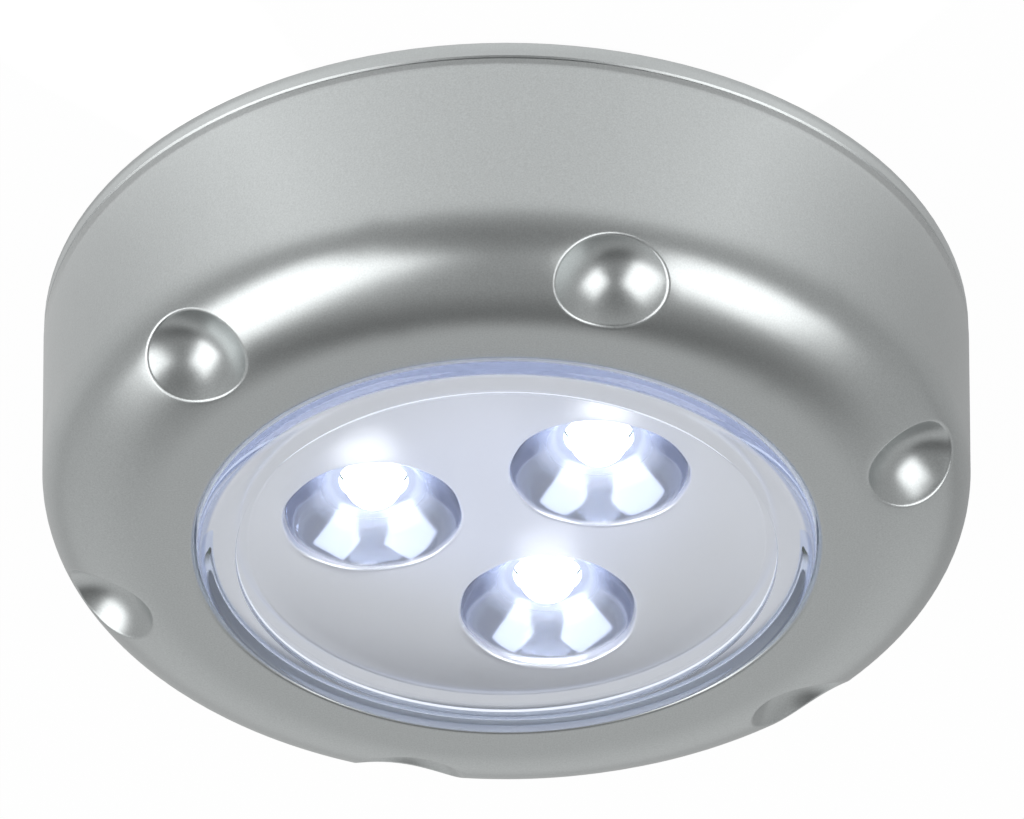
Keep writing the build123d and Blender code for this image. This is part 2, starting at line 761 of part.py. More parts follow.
with BuildPart() as reflector:
    with BuildSketch(Plane.XZ):
        with BuildLine():
            TangentArc((0, dish_edge_z + dish_depth), (dish_radius, dish_edge_z), tangent=(1, 0))
            Polyline(
                (dish_radius, dish_edge_z),
                (dish_radius, lens_inner_z),
                (reflector_radius, lens_inner_z),
                (reflector_radius, rim_back_z),
                (dish_radius + dish_step, rim_back_z),
            )
            TangentArc((0, reflector_back_z), (dish_radius + dish_step, rim_back_z), tangent=(1, 0))
            Line((0, reflector_back_z), (0, dish_edge_z + dish_depth))
        make_face()
    revolve(axis=Axis.Z)
    cup_root_z = dish_edge_z + reflector_wall
    for number in range(led_count):
        cup_angle = math.radians(led_start_angle + number * 360 / led_count)
        cup_centre = (led_circle * math.cos(cup_angle), led_circle * math.sin(cup_angle))
        with BuildSketch(Plane((*cup_centre, cup_root_z))):
            fluted_outline(cup_radius_at(cup_root_z), cup_wall)
        with BuildSketch(Plane((*cup_centre, cup_back_z))):
            fluted_outline(cup_radius_at(cup_back_z), cup_wall)
        loft(ruled=True)
    for number in range(led_count):
        cup_angle = math.radians(led_start_angle + number * 360 / led_count)
        cup_centre = (led_circle * math.cos(cup_angle), led_circle * math.sin(cup_angle))
        with BuildSketch(Plane((*cup_centre, lens_inner_z - overrun))):
            fluted_outline(cup_radius_at(lens_inner_z - overrun), 0)
        with BuildSketch(Plane((*cup_centre, cup_front_z))):
            fluted_outline(cup_base_radius, 0)
        loft(ruled=True, mode=Mode.SUBTRACT)
    with BuildSketch(Plane.XY.offset(cup_front_z - overrun)):
        with PolarLocations(led_circle, led_count, start_angle=led_start_angle):
            Circle(led_flange_radius + cup_hole_clearance)
    extrude(amount=cup_wall + 2 * overrun, mode=Mode.SUBTRACT)
reflector.part.label = "reflector"
export_step(reflector.part, "parts/reflector.step")

# Switch body, open at the bottom round the plunger
with BuildPart() as switch_body:
    with BuildSketch(Plane.XY.offset(switch_bottom_z)):
        RectangleRounded(switch_side, switch_side, switch_edge)
    extrude(amount=board_bottom_z - switch_bottom_z)
    with BuildSketch(Plane.XY.offset(switch_bottom_z + switch_lip)):
        Circle(switch_bore_radius)
    extrude(amount=switch_roof_z - switch_bottom_z - switch_lip, mode=Mode.SUBTRACT)
    with BuildSketch(Plane.XY.offset(switch_bottom_z - overrun)):
        Circle(plunger_radius + switch_lip_clearance)
    extrude(amount=switch_lip + 2 * overrun, mode=Mode.SUBTRACT)
switch_body.part.label = "switch_body"
export_step(switch_body.part, "parts/switch_body.step")

# Switch plunger, standing on the back of the reflector
plunger_flange_z = switch_bottom_z + switch_lip + plunger_rest_gap
with BuildPart() as switch_plunger:
    with BuildSketch(Plane.XY.offset(reflector_back_z)):
        Circle(plunger_radius)
    extrude(amount=plunger_flange_z - reflector_back_z)
    with BuildSketch(Plane.XY.offset(plunger_flange_z)):
        Circle(plunger_flange_radius)
    extrude(amount=plunger_flange_height)
switch_plunger.part.label = "switch_plunger"
export_step(switch_plunger.part, "parts/switch_plunger.step")

# Return spring between the plunger's flange and the switch's roof
return_spring_foot_z = plunger_flange_z + plunger_flange_height + return_spring_wire / 2 + return_spring_seat
return_spring_top_z = switch_roof_z - return_spring_wire / 2 - return_spring_seat
with BuildPart() as switch_spring:
    with BuildLine() as return_line:
        coil(
            Plane.XY.offset(return_spring_foot_z),
            return_spring_radius,
            return_spring_radius,
            return_spring_top_z - return_spring_foot_z,
            return_spring_half_turns,
        )
    return_path = return_line.wire()
    with BuildSketch(Plane(origin=return_path @ 0, z_dir=return_path % 0)):
        RegularPolygon(return_spring_wire / 2, wire_sides)
    sweep(path=return_path)
switch_spring.part.label = "switch_spring"
export_step(switch_spring.part, "parts/switch_spring.step")
return_gap = least_gap(return_path, return_spring_wire, return_spring_half_turns)
print("switch spring, least gap between turns:", round(return_gap, 3))
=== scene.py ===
import math
from bisect import bisect_right

import bmesh
import bpy
from mathutils import Matrix, Vector


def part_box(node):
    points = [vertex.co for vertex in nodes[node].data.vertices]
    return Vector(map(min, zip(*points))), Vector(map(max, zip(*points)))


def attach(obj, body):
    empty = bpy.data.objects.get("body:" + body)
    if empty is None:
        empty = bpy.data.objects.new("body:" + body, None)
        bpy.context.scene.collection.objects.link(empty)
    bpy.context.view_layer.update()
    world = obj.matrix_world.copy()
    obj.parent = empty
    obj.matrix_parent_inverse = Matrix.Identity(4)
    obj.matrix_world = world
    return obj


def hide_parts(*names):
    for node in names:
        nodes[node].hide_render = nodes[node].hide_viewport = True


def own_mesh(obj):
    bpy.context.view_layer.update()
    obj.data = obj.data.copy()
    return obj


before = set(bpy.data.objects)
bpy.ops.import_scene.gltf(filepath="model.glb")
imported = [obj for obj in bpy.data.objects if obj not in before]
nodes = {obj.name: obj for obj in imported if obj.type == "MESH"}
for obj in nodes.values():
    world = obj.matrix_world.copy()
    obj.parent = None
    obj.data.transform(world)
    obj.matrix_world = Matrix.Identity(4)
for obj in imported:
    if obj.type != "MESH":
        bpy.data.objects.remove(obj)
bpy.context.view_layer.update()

scene = bpy.context.scene
mm = 0.001
nodeWeld, sectorWeld, ringWeld = 0.0005, 0.002, 0.004      # mm, for CAD meshes, for one sector, for the whole ring


def makeObject(name, mesh):
    piece = bpy.data.objects.new(name, mesh)
    scene.collection.objects.link(piece)
    return piece


def spanned(start, end, count):
    # count even steps from start to end, both ends included
    return [start + (end - start) * k / count for k in range(count + 1)]


# Camera: below and in front of the light, looking up at the lens
cameraSetup = {
    "aim": (0.47, 0.0, -7.91), "distance": 682.0,      # a point on the view line and how far from it, mm
    "upwardAngle": 37.44, "roll": 0.11,                # degrees
    "focalPixels": 8126.0,                             # for an image as wide as imagePixels
    "imagePixels": 1024, "sensorWidth": 36.0, "clipStart": 0.01, "clipEnd": 50.0,
}


def makeCamera(s):
    angle = math.radians(s["upwardAngle"])
    roll = math.radians(s["roll"])
    ahead = Vector((0, math.cos(angle), math.sin(angle)))
    up = Vector((0, -math.sin(angle), math.cos(angle)))
    right = Vector((1, 0, 0))
    turnedRight = right * math.cos(roll) - up * math.sin(roll)
    turnedUp = up * math.cos(roll) + right * math.sin(roll)
    place = Vector(s["aim"]) - ahead * s["distance"]
    data = bpy.data.cameras.new("photoCamera")
    data.sensor_width = s["sensorWidth"]
    data.sensor_fit = "HORIZONTAL"
    data.lens = s["focalPixels"] * s["sensorWidth"] / s["imagePixels"]
    data.clip_start = s["clipStart"]
    data.clip_end = s["clipEnd"]
    camera = makeObject("photoCamera", data)
    turn = Matrix((turnedRight, turnedUp, -ahead)).transposed()
    camera.matrix_world = Matrix.Translation(place * mm) @ turn.to_4x4()
    scene.camera = camera


makeCamera(cameraSetup)
scene.view_settings.view_transform = "Standard"
print("camera placed")


finishes = {}        # the materials by name


# Shader helpers: those that stand for one node return its output
def newTree(name):
    finishes[name] = bpy.data.materials.new(name)
    finishes[name].use_nodes = True
    tree = finishes[name].node_tree
    tree.nodes.clear()
    return tree


def addNode(tree, kind, values=None, **settings):
    node = tree.nodes.new(kind)
    for key, value in settings.items():
        setattr(node, key, value)
    for socket, value in (values or {}).items():
        if isinstance(value, bpy.types.NodeSocket):
            tree.links.new(value, node.inputs[socket])
        else:
            node.inputs[socket].default_value = value
    return node


def calculate(tree, operation, *values, **settings):
    return addNode(tree, "ShaderNodeMath", dict(enumerate(values)), operation=operation, **settings).outputs[0]


def calculateVector(tree, operation, *values):
    return addNode(tree, "ShaderNodeVectorMath", dict(enumerate(values)), operation=operation).outputs


def scaleVector(tree, vector, amount):
    return addNode(tree, "ShaderNodeVectorMath", {0: vector, 3: amount}, operation="SCALE").outputs[0]


def splitVector(tree, vector):
    return addNode(tree, "ShaderNodeSeparateXYZ", {0: vector}).outputs


def flatLength(tree, x, y):
    flat = addNode(tree, "ShaderNodeCombineXYZ", {"X": x, "Y": y})
    return calculateVector(tree, "LENGTH", flat.outputs[0])["Value"]


def mapRange(tree, value, fromMin, fromMax, toMin=0.0, toMax=1.0, curve="LINEAR"):
    values = {"Value": value, "From Min": fromMin, "From Max": fromMax, "To Min": toMin, "To Max": toMax}
    return addNode(tree, "ShaderNodeMapRange", values, interpolation_type=curve).outputs[0]


def mixValues(tree, share, first, second):
    return addNode(tree, "ShaderNodeMix", {0: share, 2: first, 3: second}).outputs[0]


def mixColors(tree, share, first, second):
    return addNode(tree, "ShaderNodeMix", {0: share, 6: first, 7: second}, data_type="RGBA").outputs[2]


def mixShaders(tree, share, first, second):
    return addNode(tree, "ShaderNodeMixShader", {0: share, 1: first, 2: second}).outputs[0]


def addShader(tree, kind, color, **values):
    return addNode(tree, "ShaderNode" + kind, {"Color": (*color, 1), **values}).outputs[0]


def addBump(tree, height, distance):
    return addNode(tree, "ShaderNodeBump", {"Height": height, "Strength": 1.0, "Distance": distance}).outputs[0]


def objectPlace(tree):
    return addNode(tree, "ShaderNodeTexCoord").outputs["Object"]


def finishMaterial(tree, surface):
    addNode(tree, "ShaderNodeOutputMaterial", {"Surface": surface})


def finishPrincipled(tree, values):
    shader = addNode(tree, "ShaderNodeBsdfPrincipled", values)
    finishMaterial(tree, shader.outputs[0])
    return shader


# Fine surface grain: moulding texture, roughness that varies, faint cloudy colour change
def makeGrainGroup():
    group = bpy.data.node_groups.new("mouldedGrain", "ShaderNodeTree")
    inputs = ("Color", "Grain Size mm", "Roughness", "Roughness Spread", "Cloud Size mm", "Cloud Amount", "Speckle")
    for way, labels in (("INPUT", inputs), ("OUTPUT", ("Color", "Roughness", "Height"))):
        for label in labels:
            kind = "NodeSocketColor" if label == "Color" else "NodeSocketFloat"
            group.interface.new_socket(name=label, in_out=way, socket_type=kind)
    given = group.nodes.new("NodeGroupInput").outputs
    place = objectPlace(group)
    noises = []
    for size, detail in (("Grain Size mm", 2.0), ("Cloud Size mm", 3.0)):
        scale = calculate(group, "DIVIDE", 1 / mm, given[size])
        noise = addNode(group, "ShaderNodeTexNoise", {"Vector": place, "Scale": scale, "Detail": detail})
        noises.append(noise.outputs["Fac"])
    grainShift, cloudShift = (calculate(group, "SUBTRACT", noise, 0.5) for noise in noises)
    clouded = calculate(group, "ADD", 1.0, calculate(group, "MULTIPLY", cloudShift, given["Cloud Amount"]))
    brightness = calculate(group, "MULTIPLY_ADD", grainShift, given["Speckle"], clouded)
    bothShifts = calculate(group, "ADD", grainShift, cloudShift)
    spread = calculate(group, "MULTIPLY", bothShifts, given["Roughness Spread"])
    addNode(group, "NodeGroupOutput", {
        "Color": scaleVector(group, given["Color"], brightness),
        "Roughness": calculate(group, "ADD", given["Roughness"], spread, use_clamp=True),
        "Height": noises[0],
    })
    return group


grainGroup = makeGrainGroup()


def placeGrain(tree, look, clouds=12.0, cloudAmount=0.08):
    return addNode(tree, "ShaderNodeGroup", {
        "Color": (*look["color"], 1), "Grain Size mm": look["grain"], "Roughness": look["roughness"],
        "Roughness Spread": look.get("spread", 0.08), "Cloud Size mm": look.get("clouds", clouds),
        "Cloud Amount": look.get("cloudAmount", cloudAmount), "Speckle": look.get("speckle", 0.0),
    }, node_tree=grainGroup).outputs


def mouldedMaterial(name, look):
    # look: color, roughness, grain and bump in mm, and if need be metallic, sockets and what placeGrain takes
    tree = newTree(name)
    grain = placeGrain(tree, look)
    return tree, finishPrincipled(tree, {
        "Base Color": grain["Color"], "Roughness": grain["Roughness"],
        "Normal": addBump(tree, grain["Height"], look["bump"] * mm),
        "Metallic": look.get("metallic", 0.0), **look.get("sockets", {}),
    })


# Finishes of the pieces inside and behind
plainLooks = {
    "plate_plastic": {"color": (0.55, 0.575, 0.575), "metallic": 0.92, "roughness": 0.34, "grain": 0.15, "bump": 0.002,
                      "speckle": 0.22},
    "carrier_plastic": {"color": (0.03, 0.03, 0.032), "roughness": 0.4, "grain": 0.2, "bump": 0.004},
    "contact_metal": {"color": (0.75, 0.74, 0.70), "roughness": 0.22, "grain": 0.15, "bump": 0.001, "metallic": 1.0},
    "screw_steel": {"color": (0.62, 0.62, 0.63), "roughness": 0.28, "grain": 0.12, "bump": 0.001, "metallic": 1.0},
    "switch_plastic": {"color": (0.045, 0.045, 0.05), "roughness": 0.38, "grain": 0.15, "bump": 0.003},
    "plunger_plastic": {"color": (0.75, 0.74, 0.70), "roughness": 0.35, "grain": 0.15, "bump": 0.002},
}
for name, look in plainLooks.items():
    mouldedMaterial(name, look)


def placeAxes(tree):
    # the place on the piece in mm, and its X, Y and Z
    scaled = scaleVector(tree, objectPlace(tree), 1 / mm)
    return scaled, splitVector(tree, scaled)


def blendLooks(tree, mask, first, second, bumps):
    # two looks side by side under one mask: 0 shows the first, 1 the second; bumps are in mm
    grains = [placeGrain(tree, look, clouds=8.0, cloudAmount=0.1) for look in (first, second)]
    step = calculate(tree, "MULTIPLY", mask, bumps["step"])
    height = calculate(tree, "MULTIPLY_ADD", grains[0]["Height"], bumps["grain"], step)
    return finishPrincipled(tree, {
        "Base Color": mixColors(tree, mask, grains[0]["Color"], grains[1]["Color"]),
        "Roughness": mixValues(tree, mask, grains[0]["Roughness"], grains[1]["Roughness"]),
        "Metallic": mixValues(tree, mask, first.get("metallic", 0.0), second.get("metallic", 0.0)),
        "Normal": addBump(tree, height, mm),
    })


# Adhesive pad: foam with open pores round its edge, under a waxed paper liner with a split across it
padLook = {
    "foam": {"color": (0.80, 0.80, 0.78), "roughness": 0.9, "grain": 0.5, "cloudAmount": 0.2},
    "liner": {"color": (0.86, 0.83, 0.72), "roughness": 0.42, "grain": 0.25, "clouds": 9.0, "cloudAmount": 0.08},
    "bumps": {"grain": 0.02, "step": 0.01}, "splitWidth": 0.35, "splitSway": 1.6, "swayScale": 0.15, "linerZ": -0.03,
}


def makePadMaterial(s):
    tree = newTree("pad_foam")
    place, axes = placeAxes(tree)
    onBack = calculate(tree, "GREATER_THAN", axes["Z"], s["linerZ"])
    sway = addNode(tree, "ShaderNodeTexNoise", {"Vector": place, "Scale": s["swayScale"]}).outputs["Fac"]
    across = calculate(tree, "MULTIPLY_ADD", sway, s["splitSway"], axes["Y"])
    fromSplit = calculate(tree, "ABSOLUTE", calculate(tree, "SUBTRACT", across, s["splitSway"] / 2))
    besideSplit = calculate(tree, "GREATER_THAN", fromSplit, s["splitWidth"])
    blendLooks(tree, calculate(tree, "MULTIPLY", onBack, besideSplit), s["foam"], s["liner"], s["bumps"])


makePadMaterial(padLook)

# Size AAA cells: steel ends, a dark sleeve with a pale band at the nub end, scuffed along its length
cellLook = {
    "steel": {"color": (0.72, 0.72, 0.71), "roughness": 0.22, "grain": 0.3, "metallic": 1.0},
    "sleeve": {"color": (0.035, 0.075, 0.11), "roughness": 0.24, "grain": 0.3, "metallic": 0.35},
    "band": (0.62, 0.64, 0.66), "bandLength": 8.5, "shoulder": 1.7, "foot": 0.9, "length": 44.5,
    "bumps": {"grain": 0.002, "step": 0.05},
    "scuff": 0.10, "scuffColor": (0.7, 0.7, 0.7), "scuffStretch": (0.25, 3.0, 3.0), "scuffRange": (0.58, 0.72),
}


def makeCellMaterial(s):
    # the middle cell points the other way, so X is mirrored for it
    tree = newTree("cell_can")
    low, high = (Vector(corner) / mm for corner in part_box("aaa_cell_1"))
    lane = abs(low.y + high.y) / 4
    place, axes = placeAxes(tree)
    outerLane = calculate(tree, "GREATER_THAN", calculate(tree, "ABSOLUTE", axes["Y"]), lane)
    side = calculate(tree, "MULTIPLY_ADD", outerLane, 2.0, -1.0)
    fromNub = calculate(tree, "SUBTRACT", high.x, calculate(tree, "MULTIPLY", axes["X"], side))
    past = calculate(tree, "GREATER_THAN", fromNub, s["shoulder"])
    before = calculate(tree, "LESS_THAN", fromNub, s["length"] - s["foot"])
    sleeved = calculate(tree, "MULTIPLY", past, before)
    shader = blendLooks(tree, sleeved, s["steel"], s["sleeve"], s["bumps"])
    color = shader.inputs["Base Color"].links[0].from_socket
    beforeBandEnd = calculate(tree, "LESS_THAN", fromNub, s["shoulder"] + s["bandLength"])
    banded = mixColors(tree, calculate(tree, "MULTIPLY", sleeved, beforeBandEnd), color, (*s["band"], 1))
    stretched = calculateVector(tree, "MULTIPLY", place, s["scuffStretch"])[0]
    scuffs = addNode(tree, "ShaderNodeTexNoise", {"Vector": stretched, "Scale": 1.0, "Detail": 4.0}).outputs["Fac"]
    pale = mapRange(tree, scuffs, *s["scuffRange"], toMax=s["scuff"])
    tree.links.new(mixColors(tree, pale, banded, (*s["scuffColor"], 1)), shader.inputs["Base Color"])


makeCellMaterial(cellLook)

# Circuit board: green solder mask over copper rings and spokes
boardLook = {
    "mask": {"color": (0.012, 0.10, 0.035), "roughness": 0.30, "grain": 0.5},
    "copper": {"color": (0.045, 0.23, 0.07), "roughness": 0.26, "grain": 0.5, "metallic": 0.3},
    "bumps": {"grain": 0.004, "step": 0.035}, "rings": (7.2, 17.4, 25.6), "ringWidth": 0.9, "spokeWidth": 0.8,
}
lampCount, lampStart, lampCircle = 3, -47.6, 11.3      # the first lamp's angle in degrees, the circle's radius in mm


def fromSpoke(tree):
    # distance from the middle, and sideways from the nearest spoke through a lamp, in mm
    axes = placeAxes(tree)[1]
    angle = calculate(tree, "ARCTAN2", axes["Y"], axes["X"])
    pitch = math.tau / lampCount
    shifted = calculate(tree, "ADD", angle, math.tau - math.radians(lampStart) + pitch / 2)
    wrapped = calculate(tree, "SUBTRACT", calculate(tree, "MODULO", shifted, pitch), pitch / 2)
    reach = flatLength(tree, axes["X"], axes["Y"])
    return reach, calculate(tree, "MULTIPLY", reach, calculate(tree, "SINE", wrapped))


def makeBoardMaterial(s):
    tree = newTree("board")
    reach, sideways = fromSpoke(tree)
    onSpoke = calculate(tree, "LESS_THAN", calculate(tree, "ABSOLUTE", sideways), s["spokeWidth"] / 2)
    pastFirst = calculate(tree, "GREATER_THAN", reach, s["rings"][0])
    beforeLast = calculate(tree, "LESS_THAN", reach, s["rings"][-1])
    copper = calculate(tree, "MULTIPLY", onSpoke, calculate(tree, "MULTIPLY", pastFirst, beforeLast))
    for radius in s["rings"]:
        copper = calculate(tree, "MAXIMUM", copper, calculate(tree, "COMPARE", reach, radius, s["ringWidth"] / 2))
    blendLooks(tree, copper, s["mask"], s["copper"], s["bumps"])


makeBoardMaterial(boardLook)

# Chip resistors: dark glazed bodies with tinned ends
resistorLook = {
    "body": {"color": (0.018, 0.018, 0.02), "roughness": 0.28, "grain": 0.15},
    "tin": {"color": (0.70, 0.70, 0.69), "roughness": 0.32, "grain": 0.12, "metallic": 1.0},
    "bumps": {"grain": 0.003, "step": 0.01}, "bodyHalfLength": 1.1,
}


def makeResistorMaterial(s):
    tree = newTree("resistor_body")
    sideways = fromSpoke(tree)[1]
    atEnd = calculate(tree, "GREATER_THAN", calculate(tree, "ABSOLUTE", sideways), s["bodyHalfLength"])
    blendLooks(tree, atEnd, s["body"], s["tin"], s["bumps"])


makeResistorMaterial(resistorLook)

# Silver paint of the shell
silverPaint = {
    "color": (0.55, 0.575, 0.575), "metallic": 0.92, "roughness": 0.31, "grain": 0.14, "bump": 0.0012,
    "spread": 0.05, "clouds": 20.0, "cloudAmount": 0.03, "speckle": 0.4,
}
mouldedMaterial("silver_paint", silverPaint)

# Reflector: satin on the dish and the rim, shiny inside the cups, satin again on the floor round each lamp; the cups'
# darker blue colour is painted shade with a painted tint of the lamps' light, and the floor's lilac is a painted lamp
# tint
reflectorSilver = {
    "dish": {"color": (0.95, 0.94, 0.92), "roughness": 0.30, "grain": 0.4, "spread": 0.06, "clouds": 7.0,
             "cloudAmount": 0.06},
    # painted shade and painted lamp tint: the cups are darker and bluer than the dish, though both are the same
    # metallised plastic
    "cup": {"color": (0.42, 0.46, 0.58), "roughness": 0.12, "grain": 0.4, "spread": 0.05, "clouds": 3.0,
            "cloudAmount": 0.08},
    "bump": 0.002, "dishMetallic": 0.93, "paintedFootTint": (0.75, 0.80, 0.95), "footRoughness": 0.25, "footMetallic": 0.6,
    "dishZ": -19.85, "cupZ": -19.5, "footZ": -17.9, "floorZ": -16.4,
    # painted light: the middle of the dish glows faintly, standing in for the lamps' light that the plastic throws back
    # on it
    "scatterPlace": (0.0, -5.0, -20.0), "scatterStart": 6.0, "scatterEnd": 20.0, "paintedScatterColor": (0.09, 0.105, 0.17),
}


def makeReflectorMaterial(s):
    tree = newTree("reflector_silver")
    dish, cup = placeGrain(tree, s["dish"]), placeGrain(tree, s["cup"])
    place = objectPlace(tree)
    height = splitVector(tree, place)["Z"]
    inCup = mapRange(tree, height, s["dishZ"] * mm, s["cupZ"] * mm)
    atFoot = mapRange(tree, height, s["footZ"] * mm, s["floorZ"] * mm)
    # the cups get their painted shade and blue tint here, the floor round each lamp its painted lilac lamp tint below
    color = mixColors(tree, inCup, dish["Color"], cup["Color"])
    roughness = mixValues(tree, inCup, dish["Roughness"], cup["Roughness"])
    metallic = mixValues(tree, inCup, s["dishMetallic"], 1.0)
    # painted light: a faint emission that fades away from a point near the middle of the dish
    offMiddle = calculateVector(tree, "DISTANCE", place, Vector(s["scatterPlace"]) * mm)["Value"]
    paintedScatter = mapRange(tree, offMiddle, s["scatterStart"] * mm, s["scatterEnd"] * mm, 1.0, 0.0, "SMOOTHSTEP")
    onDish = calculate(tree, "MULTIPLY", paintedScatter, calculate(tree, "SUBTRACT", 1.0, inCup))
    finishPrincipled(tree, {
        "Base Color": mixColors(tree, atFoot, color, (*s["paintedFootTint"], 1)),
        "Roughness": mixValues(tree, atFoot, roughness, s["footRoughness"]),
        "Metallic": mixValues(tree, atFoot, metallic, s["footMetallic"]),
        "Normal": addBump(tree, dish["Height"], s["bump"] * mm),
        "Emission Color": scaleVector(tree, s["paintedScatterColor"], onDish), "Emission Strength": 1.0,
    })


makeReflectorMaterial(reflectorSilver)

# Lens: clear plastic with a painted dark edge and painted glows, lengths in mm
clearPlastic = {
    "color": (0.95, 0.97, 1.0), "roughness": 0.03, "grain": 1.5, "bump": 0.001, "spread": 0.02,
    "clouds": 10.0, "cloudAmount": 0.01, "sockets": {"Transmission Weight": 1.0, "IOR": 1.49},
    "haze": 0.02, "hazeColor": (0.85, 0.89, 0.97), "shadowColor": (0.88, 0.90, 0.93),
    "satinRadius": 24.5, "satinZ": -22.6, "satinFade": 0.1, "chalkShare": 0.5,      # satin skirt behind the bezel
    # painted shade: the outer edge of the clear plastic is tinted dark blue
    "paintedEdgeShade": (0.42, 0.50, 0.74), "tintRadius": 25.05, "tintFade": 0.2,
    "stepRadius": 22.4, "stepFade": (0.13, 0.08), "stepZ": -23.02, "stepHalfHeight": 0.13, "stepShare": 0.9,
    "paintedStepGlow": 1.2,            # painted glow: the step's edge shines as if the lamps lit it from inside the plastic
    "guideDepth": 4.5, "paintedGuideColor": (0.74, 0.80, 1.0), "paintedGuideGlow": 0.7,      # painted light: past this ray depth the plastic glows, standing in for light that has turned inside many times
}


def makeLensMaterial(s):
    tree, shader = mouldedMaterial("clear_plastic", s)
    surface = shader.outputs[0].links[0].to_socket
    paths = addNode(tree, "ShaderNodeLightPath").outputs
    axes = splitVector(tree, objectPlace(tree))
    reach = flatLength(tree, axes["X"], axes["Y"])
    # painted shade: a dark blue tint towards the outer edge
    atEdge = mapRange(tree, reach, (s["tintRadius"] - s["tintFade"]) * mm, s["tintRadius"] * mm)
    plain = shader.inputs["Base Color"].links[0].from_socket
    tree.links.new(mixColors(tree, atEdge, plain, (*s["paintedEdgeShade"], 1)), shader.inputs["Base Color"])

    outside = mapRange(tree, reach, s["satinRadius"] * mm, (s["satinRadius"] + s["satinFade"]) * mm)
    above = mapRange(tree, axes["Z"], (s["satinZ"] - s["satinFade"]) * mm, s["satinZ"] * mm)
    satin = calculate(tree, "MULTIPLY", outside, above)
    fromStep = calculate(tree, "ABSOLUTE", calculate(tree, "SUBTRACT", reach, s["stepRadius"] * mm))
    onStep = mapRange(tree, fromStep, *(edge * mm for edge in s["stepFade"]), toMax=s["stepShare"])
    atStepHeight = calculate(tree, "COMPARE", axes["Z"], s["stepZ"] * mm, s["stepHalfHeight"] * mm)
    onStep = calculate(tree, "MULTIPLY", onStep, atStepHeight)
    frost = calculate(tree, "MAXIMUM", calculate(tree, "MAXIMUM", satin, onStep), s["haze"])

    haze = addShader(tree, "BsdfTranslucent", s["hazeColor"])
    chalk = addShader(tree, "BsdfDiffuse", s["hazeColor"])
    # painted glint: an emission along the step's edge
    paintedStepGlint = addShader(tree, "Emission", s["hazeColor"], Strength=s["paintedStepGlow"])
    # painted light: a glow that stands in for light turned inside the plastic many times
    glow = addShader(tree, "Emission", s["paintedGuideColor"], Strength=s["paintedGuideGlow"])
    soft = mixShaders(tree, onStep, mixShaders(tree, s["chalkShare"], haze, chalk), paintedStepGlint)
    hazed = mixShaders(tree, frost, shader.outputs[0], soft)
    guided = calculate(tree, "GREATER_THAN", paths["Ray Depth"], s["guideDepth"])
    seen = mixShaders(tree, guided, hazed, glow)
    # a lamp's light reaches what lies behind the plastic
    clear = addShader(tree, "BsdfTransparent", s["shadowColor"])
    tree.links.new(mixShaders(tree, paths["Is Shadow Ray"], seen, clear), surface)


makeLensMaterial(clearPlastic)

# Lamps: clear epoxy, brightest over the chip and weaker towards the dome's edge
lampEpoxy = {
    "color": (0.9, 0.95, 1.0), "roughness": 0.1, "grain": 0.3, "bump": 0.001, "sockets": {"Emission Strength": 60.0},
    "glow": (0.90, 0.93, 1.0), "coreRadius": 1.0, "edgeRadius": 2.4, "edgeShare": 0.06,
}


def makeLampMaterial(s):
    tree, shader = mouldedMaterial("lamp_epoxy", s)
    reach, sideways = fromSpoke(tree)
    away = flatLength(tree, calculate(tree, "SUBTRACT", reach, lampCircle), sideways)
    share = mapRange(tree, away, s["coreRadius"], s["edgeRadius"], 1.0, s["edgeShare"], "SMOOTHSTEP")
    tree.links.new(scaleVector(tree, s["glow"], share), shader.inputs["Emission Color"])


makeLampMaterial(lampEpoxy)

nodesOfFinish = {
    "silver_paint": "housing", "plate_plastic": "mounting_plate", "pad_foam": "adhesive_pad", "clear_plastic": "lens",
    "reflector_silver": "reflector", "carrier_plastic": "battery_carrier", "screw_steel": "carrier_screws board_screws",
    "board": "circuit_board", "resistor_body": "resistors", "switch_plastic": "switch_body",
    "plunger_plastic": "switch_plunger", "cell_can": "aaa_cell_1 aaa_cell_2 aaa_cell_3",
    "lamp_epoxy": "led_1 led_2 led_3",
    "contact_metal": "positive_terminal negative_terminal link_plate_1 link_plate_2 switch_spring cell_spring_1 "
                     "cell_spring_2 cell_spring_3",
}
for finish, names in nodesOfFinish.items():
    for name in names.split():
        slots = nodes[name].data.materials
        slots.clear()
        slots.append(finishes[finish])
print("materials on the nodes")


# Geometry Nodes
def newGeometryTree(name, kinds):
    tree = bpy.data.node_groups.new(name, "GeometryNodeTree")
    for label, kind in kinds.items():
        tree.interface.new_socket(name=label, in_out="INPUT", socket_type="NodeSocket" + kind)
    tree.interface.new_socket(name="Geometry", in_out="OUTPUT", socket_type="NodeSocketGeometry")
    return tree, tree.nodes.new("NodeGroupInput").outputs


def finishGeometry(tree, geometry, finish):
    painted = addNode(tree, "GeometryNodeSetMaterial", {"Geometry": geometry, "Material": finish})
    addNode(tree, "NodeGroupOutput", {"Geometry": painted.outputs[0]})


def plainMesh(maker, name):
    # the maker's mesh with its modifier applied; the maker goes
    mesh = bpy.data.meshes.new_from_object(maker.evaluated_get(bpy.context.evaluated_depsgraph_get()))
    mesh.name = name
    bpy.data.objects.remove(maker)
    return mesh


def bakeTree(name, mesh, tree, values):
    # runs a Geometry Nodes tree on a mesh and returns the result as a plain mesh
    maker = makeObject(name + "Maker", mesh)
    modifier = maker.modifiers.new("maker", "NODES")
    modifier.node_group = tree
    for label, value in values.items():
        modifier[tree.interface.items_tree[label].identifier] = value
    return plainMesh(maker, name)


